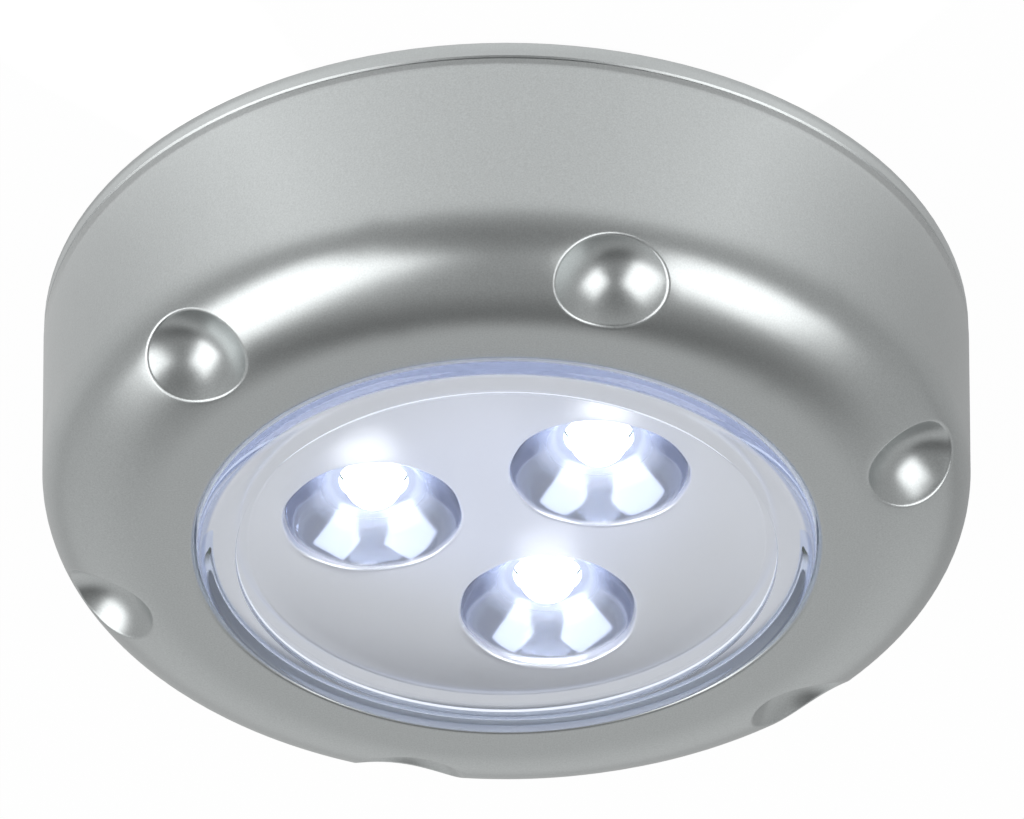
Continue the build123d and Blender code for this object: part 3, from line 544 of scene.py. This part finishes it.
# One sector of a ring, repeated about the Z axis and welded
def makeRingTree():
    tree, given = newGeometryTree("ringRepeat", {
        "Sector": "Geometry", "Count": "Int", "Start Angle": "Float", "Weld Distance": "Float", "Finish": "Material",
    })
    points = addNode(tree, "GeometryNodePoints", {"Count": given["Count"]})
    index = addNode(tree, "GeometryNodeInputIndex")
    step = calculate(tree, "DIVIDE", math.tau, given["Count"])
    turn = calculate(tree, "MULTIPLY_ADD", index.outputs[0], step, given["Start Angle"])
    angles = addNode(tree, "ShaderNodeCombineXYZ", {"Z": turn})
    rotation = addNode(tree, "FunctionNodeEulerToRotation", {0: angles.outputs[0]})
    copies = addNode(tree, "GeometryNodeInstanceOnPoints", {
        "Points": points.outputs[0], "Instance": given["Sector"], "Rotation": rotation.outputs[0],
    })
    real = addNode(tree, "GeometryNodeRealizeInstances", {"Geometry": copies.outputs[0]})
    welded = addNode(tree, "GeometryNodeMergeByDistance", {
        "Geometry": real.outputs[0], "Distance": given["Weld Distance"],
    })
    finishGeometry(tree, welded.outputs[0], given["Finish"])
    return tree


ringTree = makeRingTree()


def ringMesh(name, sector, count, startAngle, finish):
    return bakeTree(name, sector, ringTree, {
        "Count": count, "Start Angle": math.radians(startAngle), "Weld Distance": ringWeld * mm, "Finish": finish,
    })


# Mesh helpers: points are in mm
def circlePoints(radius, height, angles):
    return [Vector((radius * math.cos(a), radius * math.sin(a), height)) for a in angles]


def softTurn(start, corner, end, steps):
    # points from start round a corner to end, without the end
    shares = [step / steps for step in range(steps)]
    return [start * (1 - t) ** 2 + corner * (2 * t * (1 - t)) + end * t ** 2 for t in shares]


def gridMesh(name, rings, tip=None):
    # closed rings of points, each joined to the next, and the last one to the tip
    count = len(rings[0])
    points = [Vector(point) * mm for ring in rings for point in ring]
    faces = []
    for low in range(0, count * (len(rings) - 1), count):
        for k in range(count):
            ahead = (k + 1) % count
            faces.append((low + k, low + ahead, low + count + ahead, low + count + k))
    if tip is not None:
        points.append(Vector(tip) * mm)
        last = count * (len(rings) - 1)
        faces += [(last + k, last + (k + 1) % count, len(points) - 1) for k in range(count)]
    mesh = bpy.data.meshes.new(name)
    mesh.from_pydata(points, [], faces)
    return mesh


def addGrid(work, rows, mirrored=False):
    # faces between open rows of points
    grid = [[work.verts.new(point * mm) for point in row] for row in rows]
    for lower, upper in zip(grid, grid[1:]):
        for k in range(len(lower) - 1):
            first, *others = lower[k], lower[k + 1], upper[k + 1], upper[k]
            work.faces.new((first, *(others[::-1] if mirrored else others)))


def startWork(mesh):
    work = bmesh.new()
    work.from_mesh(mesh)
    return work


def endWork(work, mesh):
    work.to_mesh(mesh)
    work.free()


def openNode(name, isDoomed):
    # a welded copy of a CAD node's mesh without the faces that a finer surface stands for
    work = startWork(nodes[name].data)
    bmesh.ops.remove_doubles(work, verts=work.verts, dist=nodeWeld * mm)
    bmesh.ops.delete(work, geom=[face for face in work.faces if isDoomed(face)], context="FACES")
    return work


def bridgeGaps(work, between):
    # joins the two open loops within the radius, and the two beyond it
    openEdges = [edge for edge in work.edges if edge.is_boundary]
    for isWithin in (True, False):
        loops = [edge for edge in openEdges if (math.hypot(*edge.verts[0].co.xy) < between * mm) == isWithin]
        bmesh.ops.bridge_loops(work, edges=loops)
    print("open edges left", sum(edge.is_boundary for edge in work.edges))


def finishPiece(work, name, finish, sharpAngle):
    mesh = bpy.data.meshes.new(name)
    endWork(work, mesh)
    mesh.shade_smooth()
    mesh.set_sharp_from_angle(angle=math.radians(sharpAngle))
    mesh.materials.clear()        # puts every face on the first slot
    mesh.materials.append(finishes[finish])
    print(name, "faces", len(mesh.polygons))
    return makeObject(name, mesh)


# Shell: outer face with six bowls, each with a soft rolled rim, over the CAD housing's inside
shellShape = {
    "roundingRadius": 29.55, "roundingWidth": 9.1, "roundingHeight": 7.1, "roundingZ": -15.6, "bezelZ": -22.7,
    "footRadius": 38.65, "outerRadius": 39.0, "seamZ": -2.12, "holeRadius": 25.9, "holeEdge": 0.4,
    "bowls": 6, "bowlAngle": 44.0, "bowlSlopeAngle": -53.5, "bowlMouth": 4.67, "bowlDepth": 2.54, "rimRoll": 0.26,
    # the patch of faces round a bowl reaches past the rounding by these
    "patchOnBezel": 2.9, "patchOnWall": 2.6, "patchCrowding": 0.8,
    "quarterSteps": 400, "acrossCells": 36, "alongCells": 22, "patchRings": 12, "rimRings": 5, "bowlRings": 14,
    "wallRows": 8, "holeEdgeSteps": 6, "halvings": 40, "trial": 0.001,      # the last two find the rim on each ray
    # how far off the finer face a point of the housing may lie, in mm; rounding is a share of its ellipse
    "slack": {"bowl": 0.06, "bezel": 0.02, "hole": 0.01, "end": 0.005, "wall": 0.13, "rounding": 0.98},
}


def onRounding(s, angle):
    # radius and height of the elliptical rounding
    return (s["roundingRadius"] + s["roundingWidth"] * math.cos(angle),
            s["roundingZ"] + s["roundingHeight"] * math.sin(angle))


def wallRadius(s, z):
    share = (z - s["roundingZ"]) / (s["seamZ"] - s["roundingZ"])
    return s["footRadius"] + (s["outerRadius"] - s["footRadius"]) * share


def makeShellMesh(s):
    quarter = [(0.0, s["roundingRadius"], s["bezelZ"])]
    for degrees in spanned(-90, 0, s["quarterSteps"])[1:]:
        r, z = onRounding(s, math.radians(degrees))
        quarter.append((quarter[-1][0] + math.hypot(r - quarter[-1][1], z - quarter[-1][2]), r, z))
    lengths = [row[0] for row in quarter]
    roundLength = lengths[-1]

    def profile(v):
        # radius and height of the shell's outline: v is the length along it from the start of the rounding
        if v <= 0:
            return s["roundingRadius"] + v, s["bezelZ"]
        if v >= roundLength:
            z = s["roundingZ"] + v - roundLength
            return wallRadius(s, z), z
        before = bisect_right(lengths, v) - 1
        low, high = quarter[before], quarter[before + 1]
        part = (v - low[0]) / (high[0] - low[0])
        return tuple(low[i] + part * (high[i] - low[i]) for i in (1, 2))

    # the bowls' rims lie on a sphere, and each bowl is a paraboloid inside its rim
    sphere = (s["bowlMouth"] ** 2 + s["bowlDepth"] ** 2) / (2 * s["bowlDepth"])
    ellipse = math.radians(s["bowlSlopeAngle"])
    slope = math.atan2(math.sin(ellipse) * s["roundingWidth"], math.cos(ellipse) * s["roundingHeight"])
    outward = Vector((math.cos(slope), 0, math.sin(slope)))
    mouthRadius, mouthZ = onRounding(s, ellipse)
    mouth = Vector((mouthRadius, 0, mouthZ))
    centre = mouth + outward * (sphere - s["bowlDepth"])
    bottom = centre - outward * sphere
    middleV = min(quarter, key=lambda row: math.hypot(row[1] - mouth.x, row[2] - mouth.z))[0]
    halfSector = math.pi / s["bowls"]
    angles = spanned(-halfSector, halfSector, s["acrossCells"])
    lowV, highV = -s["patchOnBezel"], roundLength + s["patchOnWall"]
    edge = [(angle, lowV) for angle in angles[:-1]]
    edge += [(halfSector, v) for v in spanned(lowV, highV, s["alongCells"])[:-1]]
    edge += [(angle, highV) for angle in spanned(halfSector, -halfSector, s["acrossCells"])[:-1]]
    edge += [(-halfSector, v) for v in spanned(highV, lowV, s["alongCells"])[:-1]]

    columns = []
    for angle, v in edge:
        def alongRay(t):
            return circlePoints(*profile(middleV + (v - middleV) * t), [angle * t])[0]

        low, high = 0.0, 1.0
        for _ in range(s["halvings"]):
            middle = (low + high) / 2
            low, high = (middle, high) if (alongRay(middle) - centre).length < sphere else (low, middle)
        rim = alongRay(low)
        pace = (alongRay(low + s["trial"]) - rim).length / s["trial"]
        start = low + s["rimRoll"] / pace
        shares = [(step / s["patchRings"]) ** s["patchCrowding"] for step in range(s["patchRings"])]
        column = [alongRay(1 + (start - 1) * share) for share in shares]
        rimDirection = (rim - centre).normalized()
        axis = rimDirection.cross(-outward).normalized()
        innerPoint = centre + Matrix.Rotation(s["rimRoll"] / sphere, 3, axis) @ rimDirection * sphere
        column += softTurn(alongRay(start), rim, innerPoint, s["rimRings"])
        lip = innerPoint - bottom
        lipHeight = lip.dot(outward)
        lipRadial = lip - outward * lipHeight
        for step in range(s["bowlRings"]):
            share = 1 - step / s["bowlRings"]
            column.append(bottom + lipRadial * share + outward * (lipHeight * share ** 2))
        columns.append(column)
    sector = gridMesh("shellSector", list(zip(*columns)), tip=bottom)

    # plain bands of the wall and the bezel, beside the patch
    bands = startWork(sector)
    wallEnd = roundLength + s["seamZ"] - s["roundingZ"]
    addGrid(bands, [circlePoints(*profile(v), angles) for v in spanned(highV, wallEnd, s["wallRows"])])
    patchRadius = s["roundingRadius"] + lowV
    bezelRows = [(patchRadius, s["bezelZ"]), ((patchRadius + s["holeRadius"] + s["holeEdge"]) / 2, s["bezelZ"])]
    for degrees in spanned(0, 90, s["holeEdgeSteps"]):
        turn = math.radians(degrees)
        bezelRows.append((s["holeRadius"] + s["holeEdge"] * (1 - math.sin(turn)),
                          s["bezelZ"] + s["holeEdge"] * (1 - math.cos(turn))))
    addGrid(bands, [circlePoints(r, z, angles) for r, z in bezelRows[::-1]])
    bmesh.ops.remove_doubles(bands, verts=bands.verts, dist=sectorWeld * mm)
    endWork(bands, sector)
    return ringMesh("shellOuter", sector, s["bowls"], s["bowlAngle"], finishes["silver_paint"]), centre, sphere


def onOuterFace(point, s, centre, sphere):
    # whether a point lies on the part of the housing that the finer outer face stands for
    slack = s["slack"]
    r, z = math.hypot(point.x, point.y), point.z
    for number in range(s["bowls"]):
        turn = math.radians(s["bowlAngle"] + number * 360 / s["bowls"])
        if (point - circlePoints(centre.x, centre.z, [turn])[0]).length < sphere + slack["bowl"]:
            return True
    if z < s["bezelZ"] + slack["bezel"] and r > s["holeRadius"] + slack["hole"]:
        return True
    if r < s["holeRadius"] + s["holeEdge"] and z < s["bezelZ"] + s["holeEdge"] - slack["end"]:
        return True
    if z <= s["roundingZ"]:
        across = (r - s["roundingRadius"]) / s["roundingWidth"]
        down = (z - s["roundingZ"]) / s["roundingHeight"]
        return r > s["roundingRadius"] and across ** 2 + down ** 2 > slack["rounding"]
    return z < s["seamZ"] - slack["end"] and r > wallRadius(s, z) - slack["wall"]


def makeShell(s):
    outer, centre, sphere = makeShellMesh(s)

    def isOuter(face):
        corners = all(onOuterFace(v.co / mm, s, centre, sphere) for v in face.verts)
        return corners or onOuterFace(face.calc_center_median() / mm, s, centre, sphere)

    work = openNode("housing", isOuter)
    work.from_mesh(outer)
    bridgeGaps(work, between=(s["holeRadius"] + s["outerRadius"]) / 2)
    shell = finishPiece(work, "shell", "silver_paint", sharpAngle=35)
    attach(shell, "lamp_body")
    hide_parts("housing")


makeShell(shellShape)

# Lens: turned finely, on the CAD lens's flange with its notches
lensShape = {
    "radius": 25.7, "skirtRadius": 24.65, "faceZ": -22.85, "frontZ": -23.55, "innerZ": -21.2, "flangeZ": -20.6,
    "flangeTopZ": -19.6, "edgeRadius": 1.25, "stepRadius": 22.4, "stepEdge": 0.2, "join": 0.2, "slack": 0.01,
    "around": 288, "edgeSteps": 18, "stepSteps": 6, "spokeRings": 6,
}


def makeLens(s):
    angles = [math.tau * k / s["around"] for k in range(s["around"])]

    def turned(name, profile):
        # a surface of revolution, closed at the middle at the height of its last row
        rings = [circlePoints(r, z, angles) for r, z in profile]
        return gridMesh(name, rings, tip=(0, 0, profile[-1][1]))

    def corner(radius, size, towards, steps):
        # a quarter round at the front; towards is 1 for the outer edge and -1 for the step's
        turns = [math.pi / 2 * k / steps for k in range(steps + 1)]
        middle = radius - towards * size
        return [(middle + towards * size * math.cos(t), s["frontZ"] + size - size * math.sin(t)) for t in turns]

    spokes = [s["stepRadius"] * (1 - k / s["spokeRings"]) for k in range(s["spokeRings"])]
    outside = [(s["radius"], s["flangeZ"] - s["join"])]
    outside += corner(s["radius"], s["edgeRadius"], 1, s["edgeSteps"])
    outside += corner(s["stepRadius"], s["stepEdge"], -1, s["stepSteps"])[::-1]
    outside += [(r, s["faceZ"]) for r in spokes]
    inside = [(s["skirtRadius"], s["flangeTopZ"] - s["join"]), (s["skirtRadius"], s["innerZ"])]
    inside += [(r, s["innerZ"]) for r in spokes]
    work = openNode("lens", lambda face: any(v.co.z < (s["flangeZ"] - s["slack"]) * mm for v in face.verts))
    work.from_mesh(turned("lensOutside", outside))
    work.from_mesh(turned("lensInside", inside))
    bridgeGaps(work, between=(s["radius"] + s["skirtRadius"]) / 2)
    bmesh.ops.recalc_face_normals(work, faces=work.faces)
    lens = finishPiece(work, "lensClear", "clear_plastic", sharpAngle=30)
    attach(lens, "push_head")
    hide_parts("lens")


makeLens(lensShape)

# Reflector: a shallow metallised dish with three fluted cups, one third of it repeated round the middle
reflectorShape = {
    "frontZ": -21.12, "rimRadius": 24.45, "dishRadius": 21.3, "dishStep": 0.06, "dishDepth": 1.14, "dishCurl": 4.0,
    "stepWidth": 0.3, "rimFlat": 1.5, "rimEdge": 0.15, "wall": 0.35,
    "mouthRadius": 7.44, "mouthRoll": 0.22, "baseRadius": 3.6, "wallCurve": 1.35, "floorZ": -16.32, "collarZ": -15.3,
    "holeRadius": 2.9, "flutes": 8, "fluteMouthShare": 0.012, "fluteWallShare": 0.005, "fluteFade": 3,
    "ridgeSharpness": 1.6, "spokeCells": 30, "arcCells": 44, "dishRings": 9, "dishCrowding": 0.85, "lipRings": 4,
    "wallRings": 18, "floorRings": 4, "stepRows": 6,
}


def makeReflector(s):
    half = math.pi / lampCount
    cup = Vector((lampCircle, 0, 0))
    centreZ = s["frontZ"] + s["dishStep"] + s["dishDepth"]

    def dishZ(x, y):
        return centreZ - s["dishDepth"] * (math.hypot(x, y) / s["dishRadius"]) ** s["dishCurl"]

    def onDish(point):
        return Vector((point.x, point.y, dishZ(point.x, point.y)))

    def fluted(radius, angle, depth):
        # ridges stand inward between the flutes
        ridge = (0.5 - 0.5 * math.cos(s["flutes"] * angle)) ** s["ridgeSharpness"]
        return radius * (1 - depth * ridge)

    spokes, arc = s["spokeCells"], s["arcCells"]
    angles = spanned(-half, half, arc)
    border = [point * s["dishRadius"] for point in circlePoints(1, 0, angles)]
    edge = [border[0] * (k / spokes) for k in range(spokes)]
    edge += border[:-1]
    edge += [border[-1] * (1 - k / spokes) for k in range(spokes)]
    mouthZ = dishZ(lampCircle, 0)
    columns = []
    for point in edge:
        angle = math.atan2((point - cup).y, (point - cup).x)
        direction = Vector((math.cos(angle), math.sin(angle), 0))
        mouth = fluted(s["mouthRadius"], angle, s["fluteMouthShare"])
        start = cup + direction * (mouth + s["mouthRoll"])
        shares = [(step / s["dishRings"]) ** s["dishCrowding"] for step in range(s["dishRings"])]
        column = [onDish(point + (start - point) * share) for share in shares]
        wall = []
        for share in spanned(0, 1, s["wallRings"] - 1):
            radius = s["mouthRadius"] + (s["baseRadius"] - s["mouthRadius"]) * share ** s["wallCurve"]
            fade = min(1, share * s["fluteFade"])
            depth = s["fluteMouthShare"] + (s["fluteWallShare"] - s["fluteMouthShare"]) * fade
            at = cup + direction * fluted(radius, angle, depth)
            at.z = mouthZ + (s["floorZ"] - mouthZ) * share
            wall.append(at)
        column += softTurn(onDish(start), onDish(cup + direction * mouth), wall[1], s["lipRings"])
        column += wall[1:]
        for share in spanned(0, 1, s["floorRings"])[1:]:
            at = wall[-1] + (cup + direction * s["holeRadius"] - wall[-1]) * share
            at.z = s["floorZ"]
            column.append(at)
        column.append(Vector((at.x, at.y, s["collarZ"])))
        columns.append(column)
    sector = gridMesh("reflectorSector", list(zip(*columns)))

    rimRows = [(s["dishRadius"], s["frontZ"] + s["dishStep"])]
    for share in spanned(0, 1, s["stepRows"])[1:]:
        lift = 0.5 + 0.5 * math.cos(math.pi * share)
        rimRows.append((s["dishRadius"] + s["stepWidth"] * share, s["frontZ"] + s["dishStep"] * lift))
    rimRows += [(s["dishRadius"] + s["rimFlat"], s["frontZ"]), (s["rimRadius"] - s["rimEdge"], s["frontZ"]),
                (s["rimRadius"], s["frontZ"] + s["rimEdge"])]
    work = startWork(sector)
    addGrid(work, [circlePoints(r, z, angles) for r, z in rimRows], mirrored=True)
    bmesh.ops.remove_doubles(work, verts=work.verts, dist=sectorWeld * mm)
    bmesh.ops.recalc_face_normals(work, faces=work.faces)
    if sum(face.normal.z * face.calc_area() for face in work.faces) > 0:
        bmesh.ops.reverse_faces(work, faces=work.faces)
    endWork(work, sector)
    mesh = ringMesh("reflector", sector, lampCount, lampStart, finishes["reflector_silver"])
    front = makeObject("reflectorFront", mesh)
    thick = front.modifiers.new("wall", "SOLIDIFY")
    thick.thickness = s["wall"] * mm
    thick.offset = -1.0
    thick.use_even_offset = True
    mesh = plainMesh(front, "reflectorDish")
    mesh.shade_smooth()
    mesh.set_sharp_from_angle(angle=math.radians(40))
    piece = makeObject("reflectorDish", mesh)
    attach(piece, "push_head")
    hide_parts("reflector")
    print("reflector faces", len(mesh.polygons))


makeReflector(reflectorShape)

# Cell springs: conical coils of round wire, wide end on the contact strip
springShape = {"wire": 0.5, "turns": 4.0, "wideRadius": 3.3, "narrowRadius": 1.9, "stepsPerTurn": 40, "wireSides": 14}


def makeCoilTree():
    tree, given = newGeometryTree("coilSpring", {
        "Steps per Turn": "Int", "Turns": "Float", "Wide Radius": "Float", "Narrow Radius": "Float", "Height": "Float",
        "Wire Radius": "Float", "Wire Sides": "Int", "Turn": "Rotation", "Place": "Vector", "Finish": "Material",
    })
    spiral = addNode(tree, "GeometryNodeCurveSpiral", {
        "Resolution": given["Steps per Turn"], "Rotations": given["Turns"], "Start Radius": given["Wide Radius"],
        "End Radius": given["Narrow Radius"], "Height": given["Height"],
    })
    section = addNode(tree, "GeometryNodeCurvePrimitiveCircle", {
        "Resolution": given["Wire Sides"], "Radius": given["Wire Radius"],
    })
    wire = addNode(tree, "GeometryNodeCurveToMesh", {
        "Curve": spiral.outputs[0], "Profile Curve": section.outputs[0], "Fill Caps": True,
    })
    placed = addNode(tree, "GeometryNodeTransform", {
        "Geometry": wire.outputs[0], "Translation": given["Place"], "Rotation": given["Turn"],
    })
    real = addNode(tree, "GeometryNodeRealizeInstances", {"Geometry": placed.outputs[0]})
    finishGeometry(tree, real.outputs[0], given["Finish"])
    return tree


def makeCellSprings(s):
    tree = makeCoilTree()
    for number in (1, 2, 3):
        node = f"cell_spring_{number}"
        low, high = (Vector(corner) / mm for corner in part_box(node))
        side = 1 if low.x + high.x > 0 else -1       # the contact strip is on this side
        footX = (high.x if side > 0 else low.x) - side * s["wire"] / 2
        height = (high.x - low.x) - s["wire"]
        middle = Vector((footX, (low.y + high.y) / 2, (low.z + high.z) / 2))
        mesh = bakeTree(f"cellCoil{number}", bpy.data.meshes.new("coilStart"), tree, {
            "Steps per Turn": s["stepsPerTurn"], "Turns": s["turns"], "Wide Radius": s["wideRadius"] * mm,
            "Narrow Radius": s["narrowRadius"] * mm, "Height": height * mm, "Wire Radius": s["wire"] / 2 * mm,
            "Wire Sides": s["wireSides"], "Turn": (0.0, -side * math.pi / 2, 0.0),
            "Place": middle * mm, "Finish": finishes["contact_metal"],
        })
        work = startWork(mesh)
        bmesh.ops.recalc_face_normals(work, faces=work.faces)
        endWork(work, mesh)
        mesh.shade_smooth()
        coil = makeObject(f"cellCoil{number}", mesh)
        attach(coil, "lamp_body")
        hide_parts(node)
        print("cell spring", number, "faces", len(mesh.polygons))


makeCellSprings(springShape)


def makeSwitchCoil():
    coil = finishPiece(openNode("switch_spring", lambda face: False), "switchCoil", "contact_metal", sharpAngle=40)
    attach(coil, "lamp_body")
    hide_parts("switch_spring")
    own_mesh(coil)


makeSwitchCoil()

# Ceiling panel that the light hangs from: white to the camera, paler near the light in reflections,
# open from behind, and to rays that leave the light's own back. Lengths are in m
ceilingPanel = {
    "size": 8.0, "color": (0.8, 0.8, 0.8), "whiteShare": 0.98,
    "nearGlow": 1.07, "farGlow": 0.79, "nearRadius": 0.05, "farRadius": 0.30, "rightDimming": 0.084,
    "glowFrontToBack": (0.80, 1.03, 0.81, 0.64, 0.565, 0.54, 0.55, 0.50, 0.48, 0.48, 0.54),
    "openWithin": 0.0016,            # rays that start on the back of the light
}


def makeCeiling(s):
    half = s["size"] / 2
    mesh = bpy.data.meshes.new("ceilingPanel")
    mesh.from_pydata([(-half, -half, 0), (-half, half, 0), (half, half, 0), (half, -half, 0)], [], [(0, 1, 2, 3)])
    tree = newTree("ceilingPanel")
    paths = addNode(tree, "ShaderNodeLightPath").outputs
    face = addNode(tree, "ShaderNodeNewGeometry").outputs
    place = objectPlace(tree)
    reach = calculateVector(tree, "LENGTH", place)["Value"]
    fade = mapRange(tree, reach, s["nearRadius"], s["farRadius"], s["nearGlow"], s["farGlow"])
    axes = splitVector(tree, calculateVector(tree, "NORMALIZE", place)[0])
    ramp = addNode(tree, "ShaderNodeValToRGB", {0: mapRange(tree, axes["Y"], -1.0, 1.0)})
    levels = s["glowFrontToBack"]
    stops = ramp.color_ramp.elements
    while len(stops) < len(levels):
        stops.new(0.5)
    for number, level in enumerate(levels):
        stops[number].position = number / (len(levels) - 1)
        stops[number].color = (level, level, level, 1)
    dimmed = calculate(tree, "MULTIPLY_ADD", axes["X"], -s["rightDimming"], ramp.outputs[0])
    shaded = calculate(tree, "MULTIPLY", fade, dimmed)
    glow = calculate(tree, "MAXIMUM", shaded, paths["Is Camera Ray"])
    seen = calculate(tree, "MAXIMUM", paths["Is Camera Ray"], paths["Is Glossy Ray"])
    seen = calculate(tree, "MAXIMUM", seen, paths["Is Transmission Ray"])
    paint = addShader(tree, "BsdfDiffuse", s["color"])
    white = addShader(tree, "Emission", (1, 1, 1), Strength=glow)
    panel = mixShaders(tree, calculate(tree, "MULTIPLY", seen, s["whiteShare"]), paint, white)
    near = calculate(tree, "LESS_THAN", paths["Ray Length"], s["openWithin"])
    opened = calculate(tree, "MAXIMUM", near, face["Backfacing"])
    finishMaterial(tree, mixShaders(tree, opened, panel, addShader(tree, "BsdfTransparent", (1, 1, 1))))
    mesh.materials.append(finishes["ceilingPanel"])
    makeObject("ceilingPanel", mesh)


makeCeiling(ceilingPanel)

# Studio: a soft grey room, its brightness a sum of terms in the direction's Y (back) and Z (up), with darker parts
# in front and low behind, and two long softboxes below, left and right of the camera
studioWorld = {
    "middle": 0.458, "back": 0.025, "up": 0.296, "backTimesUp": -0.402, "backSquared": 0.222,
    "frontDip": 0.14, "frontRange": (-0.70, -0.97),
    "lowDip": 0.46, "lowFill": 0.12, "lowRange": (-0.68, -0.80), "behindRange": (0.1, 0.55),
}
# toward: degrees round from the front; below: degrees under the horizontal; glow: brightness of the face; lengths in m
softboxes = {
    "leftBox": {"toward": -72, "below": 47, "reach": 1.0, "size": (1.0, 0.70), "glow": 2.3},
    "rightBox": {"toward": 63, "below": 46, "reach": 1.0, "size": (0.70, 0.66), "glow": 2.3},
}
lightMiddle = Vector((0, 0, -0.015))


def makeWorld(s):
    world = bpy.data.worlds.new("studioWorld")
    world.use_nodes = True
    tree = world.node_tree
    tree.nodes.clear()
    paths = addNode(tree, "ShaderNodeLightPath").outputs
    axes = splitVector(tree, addNode(tree, "ShaderNodeTexCoord").outputs["Generated"])
    back, up = axes["Y"], axes["Z"]
    total = s["middle"]
    terms = [(back, "back"), (up, "up"), (calculate(tree, "MULTIPLY", back, up), "backTimesUp"),
             (calculate(tree, "MULTIPLY", back, back), "backSquared")]
    for term, name in terms:
        total = calculate(tree, "MULTIPLY_ADD", term, s[name], total)
    dip = mapRange(tree, back, *s["frontRange"], toMax=-s["frontDip"], curve="SMOOTHSTEP")
    total = calculate(tree, "ADD", total, dip)
    low = mapRange(tree, up, *s["lowRange"], curve="SMOOTHSTEP")
    behind = mapRange(tree, back, *s["behindRange"], s["lowFill"], -s["lowDip"])
    total = calculate(tree, "MULTIPLY_ADD", low, behind, total)
    room = addShader(tree, "Background", (1, 1, 1), Strength=total)
    white = addShader(tree, "Background", (1, 1, 1))
    mixed = mixShaders(tree, paths["Is Camera Ray"], room, white)
    addNode(tree, "ShaderNodeOutputWorld", {"Surface": mixed})
    scene.world = world


def makeSoftbox(name, s):
    data = bpy.data.lights.new(name, "AREA")
    data.shape = "RECTANGLE"
    data.size, data.size_y = s["size"]
    data.energy = s["glow"] * math.pi * s["size"][0] * s["size"][1]
    lamp = makeObject(name, data)
    toward, below = math.radians(s["toward"]), math.radians(s["below"])
    outward = Vector((math.sin(toward) * math.cos(below), -math.cos(toward) * math.cos(below), -math.sin(below)))
    turn = (-outward).to_track_quat("-Z", "Y").to_matrix().to_4x4()
    lamp.matrix_world = Matrix.Translation(lightMiddle + outward * s["reach"]) @ turn


makeWorld(studioWorld)
for name, s in softboxes.items():
    makeSoftbox(name, s)
print("stage and lights set")
